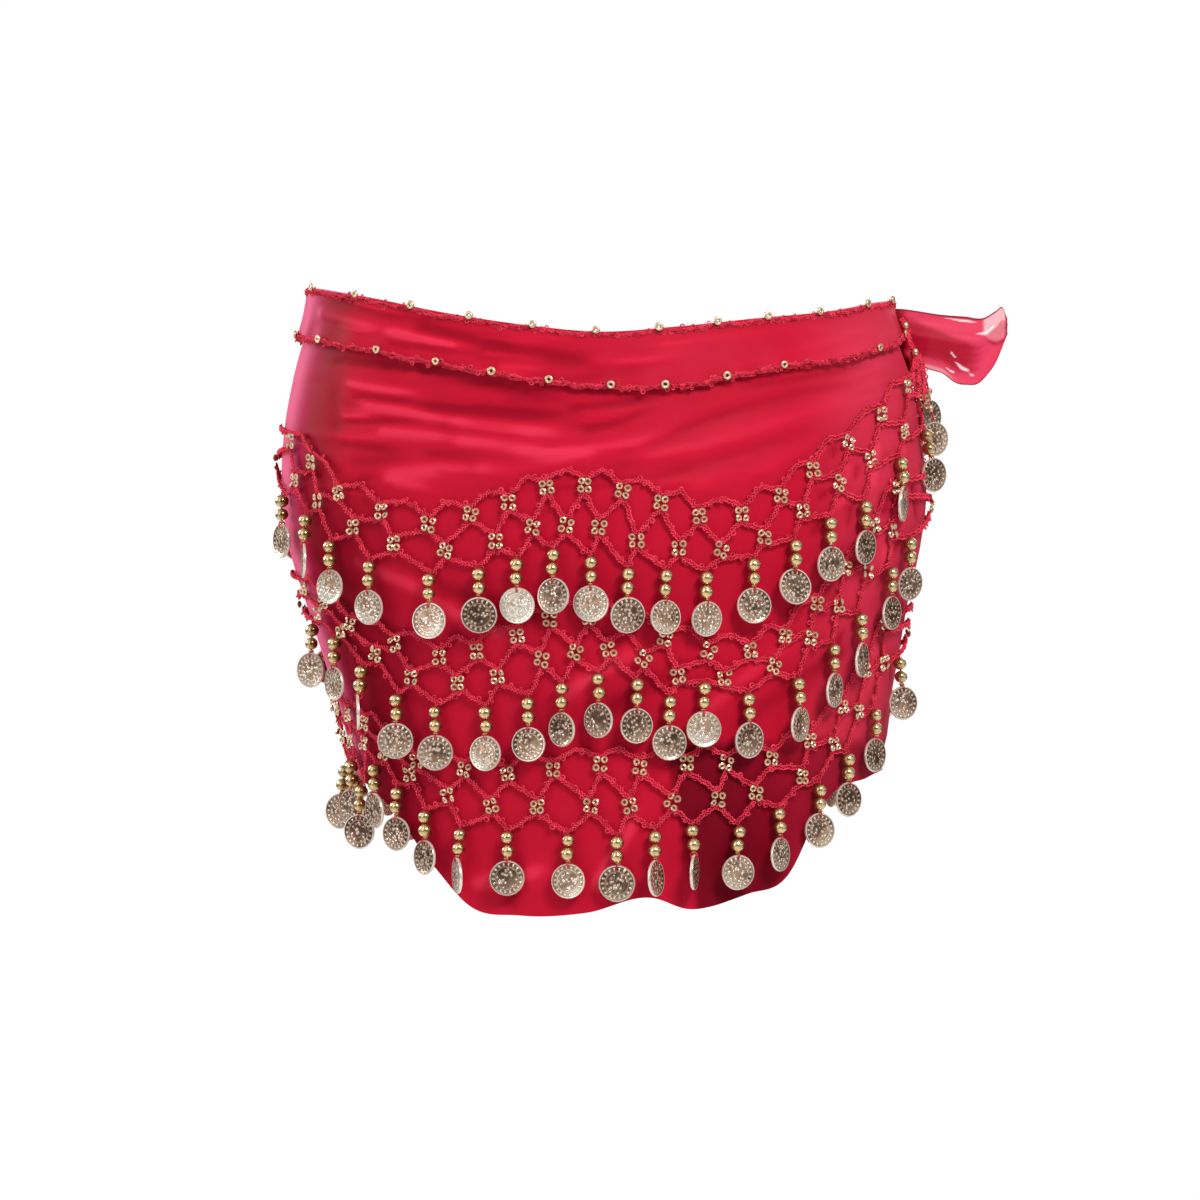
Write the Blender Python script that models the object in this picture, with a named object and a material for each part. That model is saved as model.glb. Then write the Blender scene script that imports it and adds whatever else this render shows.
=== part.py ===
"""Belly dance hip scarf, worn: a hollow chiffon wrap tied at the side, with three net tiers of coin drops.

Metres, +Z up, front towards -Y, knot towards +X. The origin is the centre of the waist opening. Places on
the wrap are given by an angle round the body, 0 at the knot and 90 degrees at the front, and by a height.
"""
import math
from typing import NamedTuple

import bmesh
import bpy
import numpy as np

CLOTH_THICKNESS = 0.0012
SEAM_GAP = 0.0003
NET_GAP = 0.0008
HALF_SEAM_ANGLE = 0.1
COLUMN_PITCH = 5.0
MM = 0.001
EVENING = 0.1

NET_THICKNESS = 0.0015
STRAND_HEIGHT = 0.0024
PAD_HALF_WIDTH = 0.0034
ROOT_HALF_WIDTH = 0.0013

BAND_THICKNESS = 0.0011
BAND_STAND_OFF = 0.0012
EDGING_HEIGHT = 0.0032
EDGING_THICKNESS = 0.0014

BEAD_RADIUS = 0.0033
BEAD_SPACING = 0.0077
COIN_RADIUS = 0.0095
COIN_THICKNESS = 0.0012
DROP_AXIS_LIFT = 0.0042
WIDEST_HEIGHT = -0.10

RIPPLE_COUNT = 5
RIPPLE_DEPTH = 0.0022
PLEAT_ANGLE = 74.0
PLEAT_WIDTH = 9.0
PLEAT_DEPTH = 0.005
PLEAT_TOP = -0.285

KNOT_CENTRE = (0.1735, 0.0151, -0.014)
KNOT_RADII = (0.0092, 0.0145, 0.0200)
SIDE_TAIL_ROOT = (0.1659, -0.0010, -0.0025)
REAR_TAIL_ROOT = (0.1755, 0.0292, -0.0045)
TAIL_LENGTH = 0.057
TAIL_THICKNESS = 0.0018
TAIL_FOLDS = 3.0
TAIL_FOLD_DEPTH = 0.0042


class Section(NamedTuple):
    """Level cut through the hips."""

    height: float
    half_width: float
    half_depth: float
    centre_x: float


class Edges(NamedTuple):
    """Heights of the band's two edges at one angle round the body, in millimetres."""

    angle: float
    top: float
    band: float


class Hem(NamedTuple):
    """Height of the wrap's lower edge at one angle round the body, in millimetres."""

    angle: float
    height: float


class NetColumn(NamedTuple):
    """One column of a net: its upper pad, the lower pad on its far side from the knot, and its drop's root.

    Angles are in degrees and heights in millimetres.
    """

    first_angle: float
    first_height: float
    second_angle: float
    second_height: float
    drop_angle: float
    drop_height: float


class Tier(NamedTuple):
    """One net tier: its name, the height of its half pad at the knot's side seam, and its front columns."""

    name: str
    seam_height: float
    columns: tuple[NetColumn, ...]


class TailStation(NamedTuple):
    """Upper and lower edge of a tail at one part of its length, in millimetres from its root."""

    reach: float
    top: float
    low: float


SECTIONS = (
    Section(0.020, 0.1570, 0.104, 0.000),
    Section(-0.010, 0.1605, 0.107, 0.000),
    Section(-0.040, 0.1690, 0.112, 0.001),
    Section(-0.070, 0.1740, 0.115, 0.001),
    Section(-0.100, 0.1760, 0.117, 0.002),
    Section(-0.130, 0.1725, 0.116, 0.002),
    Section(-0.160, 0.1645, 0.112, 0.003),
    Section(-0.190, 0.1570, 0.109, 0.005),
    Section(-0.220, 0.1495, 0.105, 0.007),
    Section(-0.260, 0.1430, 0.102, 0.009),
    Section(-0.300, 0.1400, 0.100, 0.010),
    Section(-0.360, 0.1380, 0.099, 0.010),
)

FRONT_EDGES = (
    Edges(0, 5, -12),
    Edges(18, 1, -22),
    Edges(36, -6, -31),
    Edges(54, -11, -38),
    Edges(72, -16, -47),
    Edges(90, -19, -48),
    Edges(108, -15, -43),
    Edges(126, -8, -35),
    Edges(144, 1, -26),
    Edges(162, 8, -19),
    Edges(180, 12, -14),
)

FRONT_HEM = (
    Hem(0, -252),
    Hem(18, -256),
    Hem(34, -270),
    Hem(44, -308),
    Hem(54, -316),
    Hem(72, -323),
    Hem(81, -317),
    Hem(99, -325),
    Hem(117, -327),
    Hem(131, -322),
    Hem(140, -302),
    Hem(152, -272),
    Hem(166, -256),
    Hem(180, -252),
)

UPPER_COLUMNS = (
    NetColumn(8, -42, 16, -65, 8, -65),
    NetColumn(23.5, -57, 32, -86, 24, -82),
    NetColumn(37, -76, 40, -98, 34, -106),
    NetColumn(46, -91, 48, -113, 42, -115),
    NetColumn(53, -105, 56, -127, 49.5, -127),
    NetColumn(61, -115, 65, -134, 58, -137),
    NetColumn(70, -116, 74, -133, 68, -144),
    NetColumn(78, -109, 83, -129, 76.9, -143),
    NetColumn(86, -103, 91, -122, 85, -142),
    NetColumn(94, -100, 98, -121, 92.8, -136),
    NetColumn(102, -101, 105, -122, 100.7, -132),
    NetColumn(110, -109, 113, -129, 108.6, -137),
    NetColumn(118, -115, 124, -134, 117, -142),
    NetColumn(127, -120, 135, -130, 128, -145),
    NetColumn(137, -113, 144, -121, 141, -138),
    NetColumn(147, -103, 153, -107, 150, -127),
    NetColumn(156, -86, 163.5, -93, 157.5, -113),
    NetColumn(171.5, -72, 180, -84, 172, -101),
)

MIDDLE_COLUMNS = (
    NetColumn(8, -92, 16.5, -113, 8, -119),
    NetColumn(24.5, -114, 30, -142, 22, -138),
    NetColumn(35, -142, 36, -163, 30, -164),
    NetColumn(42, -162, 42.5, -180, 37, -182),
    NetColumn(49, -179, 51, -195, 45, -200),
    NetColumn(57, -187, 63, -201, 57, -208),
    NetColumn(67, -187, 74, -200, 68.1, -202),
    NetColumn(77, -180, 82, -191, 76.3, -209),
    NetColumn(86, -172, 90, -186, 84, -200),
    NetColumn(94, -169, 98, -187, 92.8, -197),
    NetColumn(103, -170, 106, -191, 101.6, -202),
    NetColumn(111, -179, 117, -200, 110.2, -210),
    NetColumn(121, -187, 127, -204, 121, -215),
    NetColumn(130, -190, 138, -201, 133, -215),
    NetColumn(140, -183, 146, -189, 142, -209),
    NetColumn(151, -173, 154.5, -177, 150, -194),
    NetColumn(159, -161, 163, -166, 157, -180),
    NetColumn(171.5, -151, 180, -160, 172, -170),
)

LOWER_COLUMNS = (
    NetColumn(8, -155, 16, -181, 8, -186),
    NetColumn(24, -186, 27, -215, 20.5, -214),
    NetColumn(31.5, -217, 33, -237, 29, -241),
    NetColumn(40, -235, 41.5, -254, 37, -257),
    NetColumn(50, -244, 54, -262, 48, -269),
    NetColumn(62, -246, 64, -265, 59, -278),
    NetColumn(72, -246, 76, -266, 71, -277),
    NetColumn(84, -248, 87, -268, 80.6, -280),
    NetColumn(94, -246, 97, -268, 90.4, -283),
    NetColumn(106, -249, 111, -269, 103, -282),
    NetColumn(118, -252, 123, -269, 119, -281),
    NetColumn(129, -250, 134, -264, 131, -280),
    NetColumn(141, -246, 143.5, -253, 140, -271),
    NetColumn(148.5, -234, 150.5, -242, 147.3, -259),
    NetColumn(155, -226, 157, -237, 153.3, -247),
    NetColumn(161.5, -222, 163.5, -236, 160.1, -259),
    NetColumn(168, -219, 170, -234, 166.3, -247),
    NetColumn(175, -217, 180, -232, 173.9, -257),
)

TIERS = (
    Tier("upper", -52, UPPER_COLUMNS),
    Tier("middle", -108, MIDDLE_COLUMNS),
    Tier("lower", -176, LOWER_COLUMNS),
)

TAIL_OUTLINE = (
    TailStation(0.00, 3, -20),
    TailStation(0.20, 1, -28),
    TailStation(0.40, -1, -34),
    TailStation(0.62, -2, -40),
    TailStation(0.80, -2, -37),
    TailStation(0.93, 2, -20),
    TailStation(1.00, -3, -12),
)

HIGH_RISE = 0.009
PAD_HALF_HEIGHT = 0.0044
CLOTH_ROWS = (0.0, 0.10, 0.19, 0.28, 0.37, 0.46, 0.55, 0.65, 0.76, 0.88, 1.0)

MATERIALS = {
    "cloth": ((0.62, 0.010, 0.050), 0.55, 0.0),
    "band": ((0.55, 0.010, 0.045), 0.55, 0.0),
    "net": ((0.75, 0.015, 0.060), 0.65, 0.1),
    "edging": ((0.80, 0.080, 0.100), 0.60, 0.2),
    "tail": ((0.80, 0.120, 0.200), 0.40, 0.0),
}


def clear_scene() -> None:
    """Remove every object of the open file."""
    for thing in list(bpy.data.objects):
        bpy.data.objects.remove(thing)


def smooth_curve(stations, values, places):
    """Read a smooth curve through given values, with each slope set by the two neighbouring values.

    Args:
        stations: Rising places of the given values.
        values: The values there.
        places: Where to read the curve.

    Returns:
        The values at those places, held level past both ends.
    """
    stations = np.asarray(stations, float)
    values = np.asarray(values, float)
    places = np.clip(np.asarray(places, float), stations[0], stations[-1])
    slopes = np.gradient(values, stations)
    index = np.clip(np.searchsorted(stations, places, side="right") - 1, 0, len(stations) - 2)
    span = stations[index + 1] - stations[index]
    part = (places - stations[index]) / span
    rise = part * part * (3 - 2 * part)
    start_pull = part * (1 - part) ** 2 * span * slopes[index]
    end_pull = part * part * (part - 1) * span * slopes[index + 1]
    return values[index] * (1 - rise) + values[index + 1] * rise + start_pull + end_pull


def soft_step(values):
    """Ease from 0 to 1 as the values go from 0 to 1."""
    eased = np.clip(values, 0.0, 1.0)
    return eased * eased * (3 - 2 * eased)


def mirrored(angles):
    """Give the front angle whose heights a place on the back repeats."""
    folded = np.mod(np.asarray(angles, float), 360.0)
    return np.where(folded > 180.0, 360.0 - folded, folded)


def edge_height(name, angles):
    """Height in metres of a sewn line, read from the table of edges."""
    stations = [row.angle for row in FRONT_EDGES]
    heights = [getattr(row, name) for row in FRONT_EDGES]
    return smooth_curve(stations, heights, mirrored(angles)) / 1000.0


def hem_height(angles):
    """Height in metres of the wrap's lower edge."""
    stations = [row.angle for row in FRONT_HEM]
    heights = [row.height for row in FRONT_HEM]
    return smooth_curve(stations, heights, mirrored(angles)) / 1000.0


def smooth_wrap(angles, heights):
    """Inner side of the wrap before it is cut into flat facets.

    A level ellipse from the sections, with soft upright ripples that grow towards the hem, and one deep
    pleat that steps in towards the knot below the lower net.

    Args:
        angles: Angles round the body in degrees.
        heights: Heights in metres, as many as the angles.

    Returns:
        Plan positions and outward plan directions, each with x and y columns.
    """
    levels = [row.height for row in reversed(SECTIONS)]
    half_width, half_depth, centre_x = (
        smooth_curve(levels, [getattr(row, name) for row in reversed(SECTIONS)], heights)
        for name in ("half_width", "half_depth", "centre_x")
    )
    turn = np.radians(angles)
    turn = turn + EVENING * np.sin(2 * turn)
    across = np.cos(turn)
    along = -np.sin(turn)
    outward = np.stack([across / half_width, along / half_depth], axis=-1)
    outward /= np.linalg.norm(outward, axis=-1, keepdims=True)
    fall = soft_step(-np.asarray(heights) / 0.30)
    ripple = RIPPLE_DEPTH * fall * np.sin(np.radians(np.asarray(angles)) * RIPPLE_COUNT + 0.6)
    inside = soft_step((PLEAT_ANGLE - np.asarray(angles)) / PLEAT_WIDTH)
    recovery = 1 - soft_step((PLEAT_ANGLE - 12 - np.asarray(angles)) / 26.0)
    depth = soft_step((PLEAT_TOP - np.asarray(heights)) / 0.03)
    on_front = (np.asarray(angles) >= 0) & (np.asarray(angles) <= 180)
    pleat = -PLEAT_DEPTH * inside * recovery * depth * on_front
    places = np.stack([centre_x + half_width * across, half_depth * along], axis=-1)
    return places + outward * (ripple + pleat)[..., None], outward


def row_heights(angles):
    """Heights of the wrap's rows of points at some angles, from the top edge to the hem."""
    top = edge_height("top", angles)[:, None]
    hem = hem_height(angles)[:, None]
    return top + (hem - top) * np.array(CLOTH_ROWS)[None, :]


def wrap_points(angles, heights, lifts, tangents=None, hang_from=None):
    """Points over the wrap, read along its straight facets so that every layer lies parallel to it.

    Args:
        angles: Angles round the body in degrees.
        heights: Heights in metres.
        lifts: Distances out of the wrap's inner side.
        tangents: Level distances along the wrap, towards rising angles.
        hang_from: Root heights of what hangs free and stays plumb below the widest part.

    Returns:
        One row of x, y and z for each angle.
    """
    angles = np.asarray(angles, float)
    heights = np.broadcast_to(np.asarray(heights, float), angles.shape)
    lifts = np.broadcast_to(np.asarray(lifts, float), angles.shape)
    looked_up = heights
    if hang_from is not None:
        looked_up = np.maximum(heights, np.minimum(hang_from, WIDEST_HEIGHT))
    levels = row_heights(angles)
    count = levels.shape[1]
    flat_places, _ = smooth_wrap(np.repeat(angles, count), levels.ravel())
    rows = flat_places.reshape(len(angles), count, 2)
    _, outward = smooth_wrap(angles, looked_up)
    plan = np.empty((len(angles), 2))
    for index, level in enumerate(looked_up):
        for axis in (0, 1):
            plan[index, axis] = np.interp(level, levels[index, ::-1], rows[index, ::-1, axis])
    plan = plan + outward * lifts[:, None]
    if tangents is not None:
        leftward = np.stack([outward[:, 1], -outward[:, 0]], axis=-1)
        plan = plan + leftward * np.broadcast_to(np.asarray(tangents, float), angles.shape)[:, None]
    return np.column_stack([plan, heights])


def material(kind):
    """Make one Principled material of a named kind."""
    colour, roughness, metallic = MATERIALS[kind]
    made = bpy.data.materials.new(kind)
    made.use_nodes = True
    shader = made.node_tree.nodes["Principled BSDF"]
    shader.inputs["Base Color"].default_value = (*colour, 1.0)
    shader.inputs["Roughness"].default_value = roughness
    shader.inputs["Metallic"].default_value = metallic
    return made


def add_object(name, vertices, polygons, kind):
    """Turn points and faces into one closed object whose faces point out.

    Args:
        name: Node name.
        vertices: Point rows.
        polygons: Faces as tuples of point numbers, in any turning sense.
        kind: Key of the material.

    Returns:
        The new object.
    """
    mesh = bpy.data.meshes.new(name)
    mesh.from_pydata([tuple(map(float, row)) for row in vertices], [], polygons)
    work = bmesh.new()
    work.from_mesh(mesh)
    bmesh.ops.recalc_face_normals(work, faces=work.faces)
    if work.calc_volume(signed=True) < 0:
        bmesh.ops.reverse_faces(work, faces=work.faces)
    work.to_mesh(mesh)
    work.free()
    mesh.shade_smooth()
    mesh.set_sharp_from_angle(angle=math.radians(40))
    mesh.materials.append(material(kind))
    made = bpy.data.objects.new(name, mesh)
    bpy.context.collection.objects.link(made)
    return made


def close_panel(outer, inner, faces, open_edges=()):
    """Close a panel with its second side and with walls along its free edges.

    Args:
        outer: Points of the outer side.
        inner: Points of the inner side, in the same order.
        faces: Faces of the outer side.
        open_edges: Free edges left without a wall, where something else is joined on.

    Returns:
        All points and all faces.
    """
    count = len(outer)
    uses = {}
    for face in faces:
        for start, end in zip(face, (*face[1:], face[0])):
            uses.setdefault(frozenset((start, end)), []).append((start, end))
    left_open = {frozenset(edge) for edge in open_edges}
    polygons = [tuple(face) for face in faces]
    polygons += [tuple(count + point for point in reversed(face)) for face in faces]
    for edge, directions in uses.items():
        if len(directions) == 1 and edge not in left_open:
            start, end = directions[0]
            polygons.append((end, start, count + start, count + end))
    return np.vstack([outer, inner]), polygons


def grid_faces(columns, rows):
    """Faces of a grid whose points run row by row."""
    return [
        (row * columns + column, row * columns + column + 1,
         (row + 1) * columns + column + 1, (row + 1) * columns + column)
        for row in range(rows - 1)
        for column in range(columns - 1)
    ]


def column_angles(start, span=180.0):
    """Angles of the columns of one stretch, drawn in a little at the seam at each end."""
    angles = np.arange(0.0, span + COLUMN_PITCH / 2, COLUMN_PITCH) + start
    angles[0] += HALF_SEAM_ANGLE
    angles[-1] -= HALF_SEAM_ANGLE
    return angles


def grid_panel(name, angles, height_rows, lift_rows, thickness, kind):
    """Build one wall of cloth on rows of points over the wrap.

    Args:
        name: Node name.
        angles: Angles of the columns.
        height_rows: One array of heights for each row, from top to bottom.
        lift_rows: Lift of the panel's inner side for each row.
        thickness: Thickness of the wall.
        kind: Key of the material.
    """
    sides = []
    for extra in (thickness, 0.0):
        rows = [wrap_points(angles, heights, lift + extra) for heights, lift in zip(height_rows, lift_rows)]
        sides.append(np.vstack(rows))
    vertices, polygons = close_panel(*sides, grid_faces(len(angles), len(height_rows)))
    add_object(name, vertices, polygons, kind)


def build_wrap(name, start):
    """Build the stretch of chiffon round one quarter of the body."""
    angles = column_angles(start, 90.0)
    rows = row_heights(angles).T
    grid_panel(name, angles, rows, [0.0] * len(rows), CLOTH_THICKNESS, "cloth")


def build_band(name, start):
    """Build the turned-down top band of one half, which stands off a little at its lower edge."""
    angles = column_angles(start)
    top = edge_height("top", angles)
    low = edge_height("band", angles)
    seat = CLOTH_THICKNESS + SEAM_GAP
    rows = [top, low]
    lifts = [seat, seat + BAND_STAND_OFF]
    grid_panel(name, angles, rows, lifts, BAND_THICKNESS, "band")


def build_edging(name, start, line, direction):
    """Build the narrow strip of crochet along one edge of the band.

    Args:
        name: Node name.
        start: First angle of the half.
        line: Name of the edge in the table.
        direction: 1 above the edge, -1 below it.
    """
    angles = column_angles(start)
    edge = edge_height(line, angles)
    near = edge + direction * SEAM_GAP
    far = edge + direction * (SEAM_GAP + EDGING_HEIGHT)
    seat = CLOTH_THICKNESS + SEAM_GAP
    lift = seat if direction < 0 else CLOTH_THICKNESS
    grid_panel(name, angles, [near, far], [lift, lift], EDGING_THICKNESS, "edging")


class NetBuilder:
    """Collects the points and faces of one half tier of net."""

    def __init__(self):
        """Start with no points."""
        self.angles = []
        self.heights = []
        self.shifts = []
        self.faces = []
        self.roots = []

    def point(self, angle, height, shift=0.0):
        """Add a point and give its number.

        Args:
            angle: Angle round the body.
            height: Height.
            shift: Level distance along the wrap.
        """
        self.angles.append(angle)
        self.heights.append(height)
        self.shifts.append(shift)
        return len(self.angles) - 1

    def strand_end(self, angle, height):
        """Add the upper and lower points where two strands meet at the top."""
        half = STRAND_HEIGHT / 2
        return {
            "top": self.point(angle, height + half),
            "bottom": self.point(angle, height - half),
        }

    def pad(self, angle, height, sides):
        """Add a four-cornered pad, or a half of one at a side seam."""
        corners = {
            "top": self.point(angle, height + PAD_HALF_HEIGHT),
            "bottom": self.point(angle, height - PAD_HALF_HEIGHT),
        }
        for side, sign in sides:
            corners[side] = self.point(angle, height, sign * PAD_HALF_WIDTH)
        return corners

    def drop_root(self, angle, height):
        """Add the lowest stitch, whose lower edge carries a coin drop."""
        corners = {
            "top": self.point(angle, height + STRAND_HEIGHT),
            "right": self.point(angle, height, -ROOT_HALF_WIDTH),
            "left": self.point(angle, height, ROOT_HALF_WIDTH),
        }
        self.faces.append((corners["top"], corners["right"], corners["left"]))
        self.roots.append((corners["right"], corners["left"], angle))
        return corners


def net_places(start, tier):
    """Angles and heights of a half tier's turning points; the back half mirrors the front.

    Args:
        start: First angle of the half.
        tier: The tier.

    Returns:
        Four arrays of angle and height in metres: strand ends, first pads, second pads and drop roots.
    """
    columns = np.array(tier.columns, float)
    columns[:, 1::2] *= MM
    firsts, seconds, drops = columns[:, 0:2], columns[:, 2:4], columns[:, 4:6]
    seconds = np.vstack([(0.0, tier.seam_height * MM), seconds])
    middles = (firsts[1:] + firsts[:-1]) / 2
    highs = np.vstack([(0.0, firsts[0, 1]), middles, (180.0, firsts[-1, 1])]) + (0.0, HIGH_RISE)
    places = [highs, firsts, seconds, drops]
    if start:
        places = [np.column_stack([360.0 - row[::-1, 0], row[::-1, 1]]) for row in places]
    for row in (places[0], places[2]):
        row[0, 0] += HALF_SEAM_ANGLE
        row[-1, 0] -= HALF_SEAM_ANGLE
    return places


def lattice(start, tier):
    """Lay out one half tier: zigzag strands between two rows of pads, with a drop root in each column.

    Args:
        start: First angle of the half.
        tier: The tier to lay out.

    Returns:
        The filled net builder.
    """
    net = NetBuilder()
    high_row, first_row, second_row, drop_row = net_places(start, tier)
    columns = len(first_row)
    both = (("right", -1), ("left", 1))
    highs = [net.strand_end(*place) for place in high_row]
    first = [net.pad(*place, both) for place in first_row]
    second = []
    for index, place in enumerate(second_row):
        sides = both
        if index == 0:
            sides = both[1:]
        if index == columns:
            sides = both[:1]
        second.append(net.pad(*place, sides))
    roots = [net.drop_root(*place) for place in drop_row]
    for pad in first:
        net.faces.append((pad["top"], pad["right"], pad["bottom"], pad["left"]))
    for pad in second:
        corners = [pad["top"]]
        if "right" in pad:
            corners.append(pad["right"])
        corners.append(pad["bottom"])
        if "left" in pad:
            corners.append(pad["left"])
        net.faces.append(tuple(corners))
    for index in range(columns):
        right_high, left_high = highs[index], highs[index + 1]
        right_pad, left_pad = second[index], second[index + 1]
        pad, root = first[index], roots[index]
        net.faces.append((right_high["top"], right_high["bottom"], pad["right"], pad["top"]))
        net.faces.append((pad["top"], pad["left"], left_high["bottom"], left_high["top"]))
        net.faces.append((pad["right"], right_pad["top"], right_pad["left"], pad["bottom"]))
        net.faces.append((pad["bottom"], left_pad["right"], left_pad["top"], pad["left"]))
        net.faces.append((right_pad["left"], right_pad["bottom"], root["right"], root["top"]))
        net.faces.append((root["top"], root["left"], left_pad["bottom"], left_pad["right"]))
    return net


def drop_rings():
    """Rings of a coin drop: distance below its root, half width and half depth of each."""
    first_bead = BEAD_RADIUS + 0.0011
    second_bead = first_bead + BEAD_SPACING
    neck = second_bead + BEAD_RADIUS + 0.0005
    coin = neck + COIN_RADIUS
    corner = COIN_RADIUS * math.cos(math.radians(67.5))
    wide = COIN_RADIUS * math.sin(math.radians(67.5))
    half_coin = COIN_THICKNESS / 2
    return (
        (first_bead, BEAD_RADIUS, BEAD_RADIUS),
        (second_bead, BEAD_RADIUS, BEAD_RADIUS),
        (neck, corner * 0.5, half_coin),
        (coin - corner, wide, half_coin),
        (coin + corner, wide, half_coin),
        (coin + COIN_RADIUS, corner, half_coin),
    )


def build_net(name, start, tier):
    """Build one half tier of net with a coin drop fused to each of its lowest stitches."""
    net = lattice(start, tier)
    angles = np.array(net.angles)
    heights = np.array(net.heights)
    seat = CLOTH_THICKNESS + NET_GAP
    outer = wrap_points(angles, heights, seat + NET_THICKNESS, net.shifts)
    inner = wrap_points(angles, heights, seat, net.shifts)
    root_edges = [root[:2] for root in net.roots]
    vertices, polygons = close_panel(outer, inner, net.faces, root_edges)
    vertices = list(vertices)
    count = len(outer)
    for right, left, angle in net.roots:
        ring = (right, left, count + left, count + right)
        root_height = heights[right]
        for distance, half_width, half_depth in drop_rings():
            axis = CLOTH_THICKNESS + DROP_AXIS_LIFT
            lifts = [axis + half_depth, axis + half_depth, axis - half_depth, axis - half_depth]
            shifts = [-half_width, half_width, half_width, -half_width]
            corners = wrap_points([angle] * 4, root_height - distance, lifts, shifts, root_height)
            following = tuple(range(len(vertices), len(vertices) + 4))
            vertices.extend(corners)
            for side in range(4):
                after = (side + 1) % 4
                polygons.append((ring[side], ring[after], following[after], following[side]))
            ring = following
        polygons.append(ring)
    add_object(name, vertices, polygons, "net")


def build_knot():
    """Build the knot: an upright ball with three shallow wraps across it."""
    columns, rows = 14, 9
    vertices = [(KNOT_CENTRE[0], KNOT_CENTRE[1], KNOT_CENTRE[2] + KNOT_RADII[2])]
    for row in range(1, rows):
        fall = math.pi * row / rows
        for column in range(columns):
            turn = 2 * math.pi * column / columns
            swell = 1 - 0.10 * (0.5 + 0.5 * math.cos(3 * fall * 2 + turn))
            vertices.append((
                KNOT_CENTRE[0] + KNOT_RADII[0] * swell * math.sin(fall) * math.cos(turn),
                KNOT_CENTRE[1] + KNOT_RADII[1] * swell * math.sin(fall) * math.sin(turn),
                KNOT_CENTRE[2] + KNOT_RADII[2] * math.cos(fall),
            ))
    vertices.append((KNOT_CENTRE[0], KNOT_CENTRE[1], KNOT_CENTRE[2] - KNOT_RADII[2]))
    last = len(vertices) - 1
    polygons = []
    for column in range(columns):
        after = (column + 1) % columns
        polygons.append((0, 1 + column, 1 + after))
        for row in range(rows - 2):
            upper = 1 + row * columns
            lower = upper + columns
            polygons.append((upper + column, lower + column, lower + after, upper + after))
        base = 1 + (rows - 2) * columns
        polygons.append((base + column, last, base + after))
    add_object("knot", vertices, polygons, "band")


def build_tail(name, root, along):
    """Build a sheer tail that fans out from the knot with folds along its length.

    Args:
        name: Node name.
        root: Place on the knot that its heights are measured from.
        along: Direction in plan that the tail runs in, of length 1.
    """
    rows = 14
    across = np.array([-along[1], along[0], 0.0])
    forward = np.array([along[0], along[1], 0.0])
    sides = []
    for side in (0.5, -0.5):
        points = []
        for row in range(rows):
            part = row / (rows - 1)
            for station in TAIL_OUTLINE:
                opening = 0.35 + 0.65 * math.sin(math.pi * min(station.reach + 0.05, 0.75))
                wave = TAIL_FOLD_DEPTH / 2 * opening * math.sin(2 * math.pi * TAIL_FOLDS * part + 0.8)
                place = np.array(root) + forward * (TAIL_LENGTH * station.reach)
                place += across * (wave + side * TAIL_THICKNESS)
                place[2] += (station.top + (station.low - station.top) * part) / 1000.0
                points.append(place)
        sides.append(np.array(points))
    vertices, polygons = close_panel(*sides, grid_faces(len(TAIL_OUTLINE), rows))
    add_object(name, vertices, polygons, "tail")


def main():
    """Build every piece of the hip scarf."""
    clear_scene()
    for index, quarter in enumerate(("front_knot", "front_plain", "back_plain", "back_knot")):
        build_wrap(f"cloth_{quarter}", index * 90.0)
    for side, start in (("front", 0.0), ("back", 180.0)):
        build_band(f"waistband_{side}", start)
        build_edging(f"edging_top_{side}", start, "top", 1)
        build_edging(f"edging_band_{side}", start, "band", -1)
        for tier in TIERS:
            build_net(f"net_{tier.name}_{side}", start, tier)
    build_knot()
    build_tail("tail_side", SIDE_TAIL_ROOT, (1.0, 0.0))
    build_tail("tail_rear", REAR_TAIL_ROOT, (0.0, 1.0))


main()
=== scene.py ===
"""Belly dance hip scarf, worn and tied at the side: chiffon wrap, three coin nets and sheer tails.

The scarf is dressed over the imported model, in metres, +Z up, with its front towards -Y. A place on it is
an angle round the body, 0 at the knot and 90 degrees at the front, a height, and a lift out of the cloth.
"""
import logging
import math
from collections.abc import Sequence
from dataclasses import astuple, dataclass, field
from enum import Enum

import bpy
import numpy as np
from bpy.types import Material, Node, NodeOutputs, NodeSocket, NodeTree, Object
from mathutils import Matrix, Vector


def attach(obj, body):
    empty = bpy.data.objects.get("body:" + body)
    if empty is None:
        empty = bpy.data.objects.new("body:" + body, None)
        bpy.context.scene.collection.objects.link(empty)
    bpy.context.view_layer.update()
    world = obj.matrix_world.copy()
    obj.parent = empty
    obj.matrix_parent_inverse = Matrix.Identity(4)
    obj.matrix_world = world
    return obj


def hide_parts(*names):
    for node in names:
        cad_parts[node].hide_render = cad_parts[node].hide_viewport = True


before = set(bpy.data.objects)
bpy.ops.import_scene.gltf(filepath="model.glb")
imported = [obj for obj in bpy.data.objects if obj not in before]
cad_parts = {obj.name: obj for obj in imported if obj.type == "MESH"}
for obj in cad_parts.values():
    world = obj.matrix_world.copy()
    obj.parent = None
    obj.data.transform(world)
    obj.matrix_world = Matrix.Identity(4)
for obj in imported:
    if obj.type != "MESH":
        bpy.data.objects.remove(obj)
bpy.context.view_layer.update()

log = logging.getLogger("hip_scarf")

MM = 0.001
TURN = 360.0
BODY = "root"
THREAD_DEPTH = 0.62
EVEN_FOLD = 0.55

Array = np.ndarray
Colour = tuple[float, float, float, float]
Place = tuple[float, float, float]


# ---- curves


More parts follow.
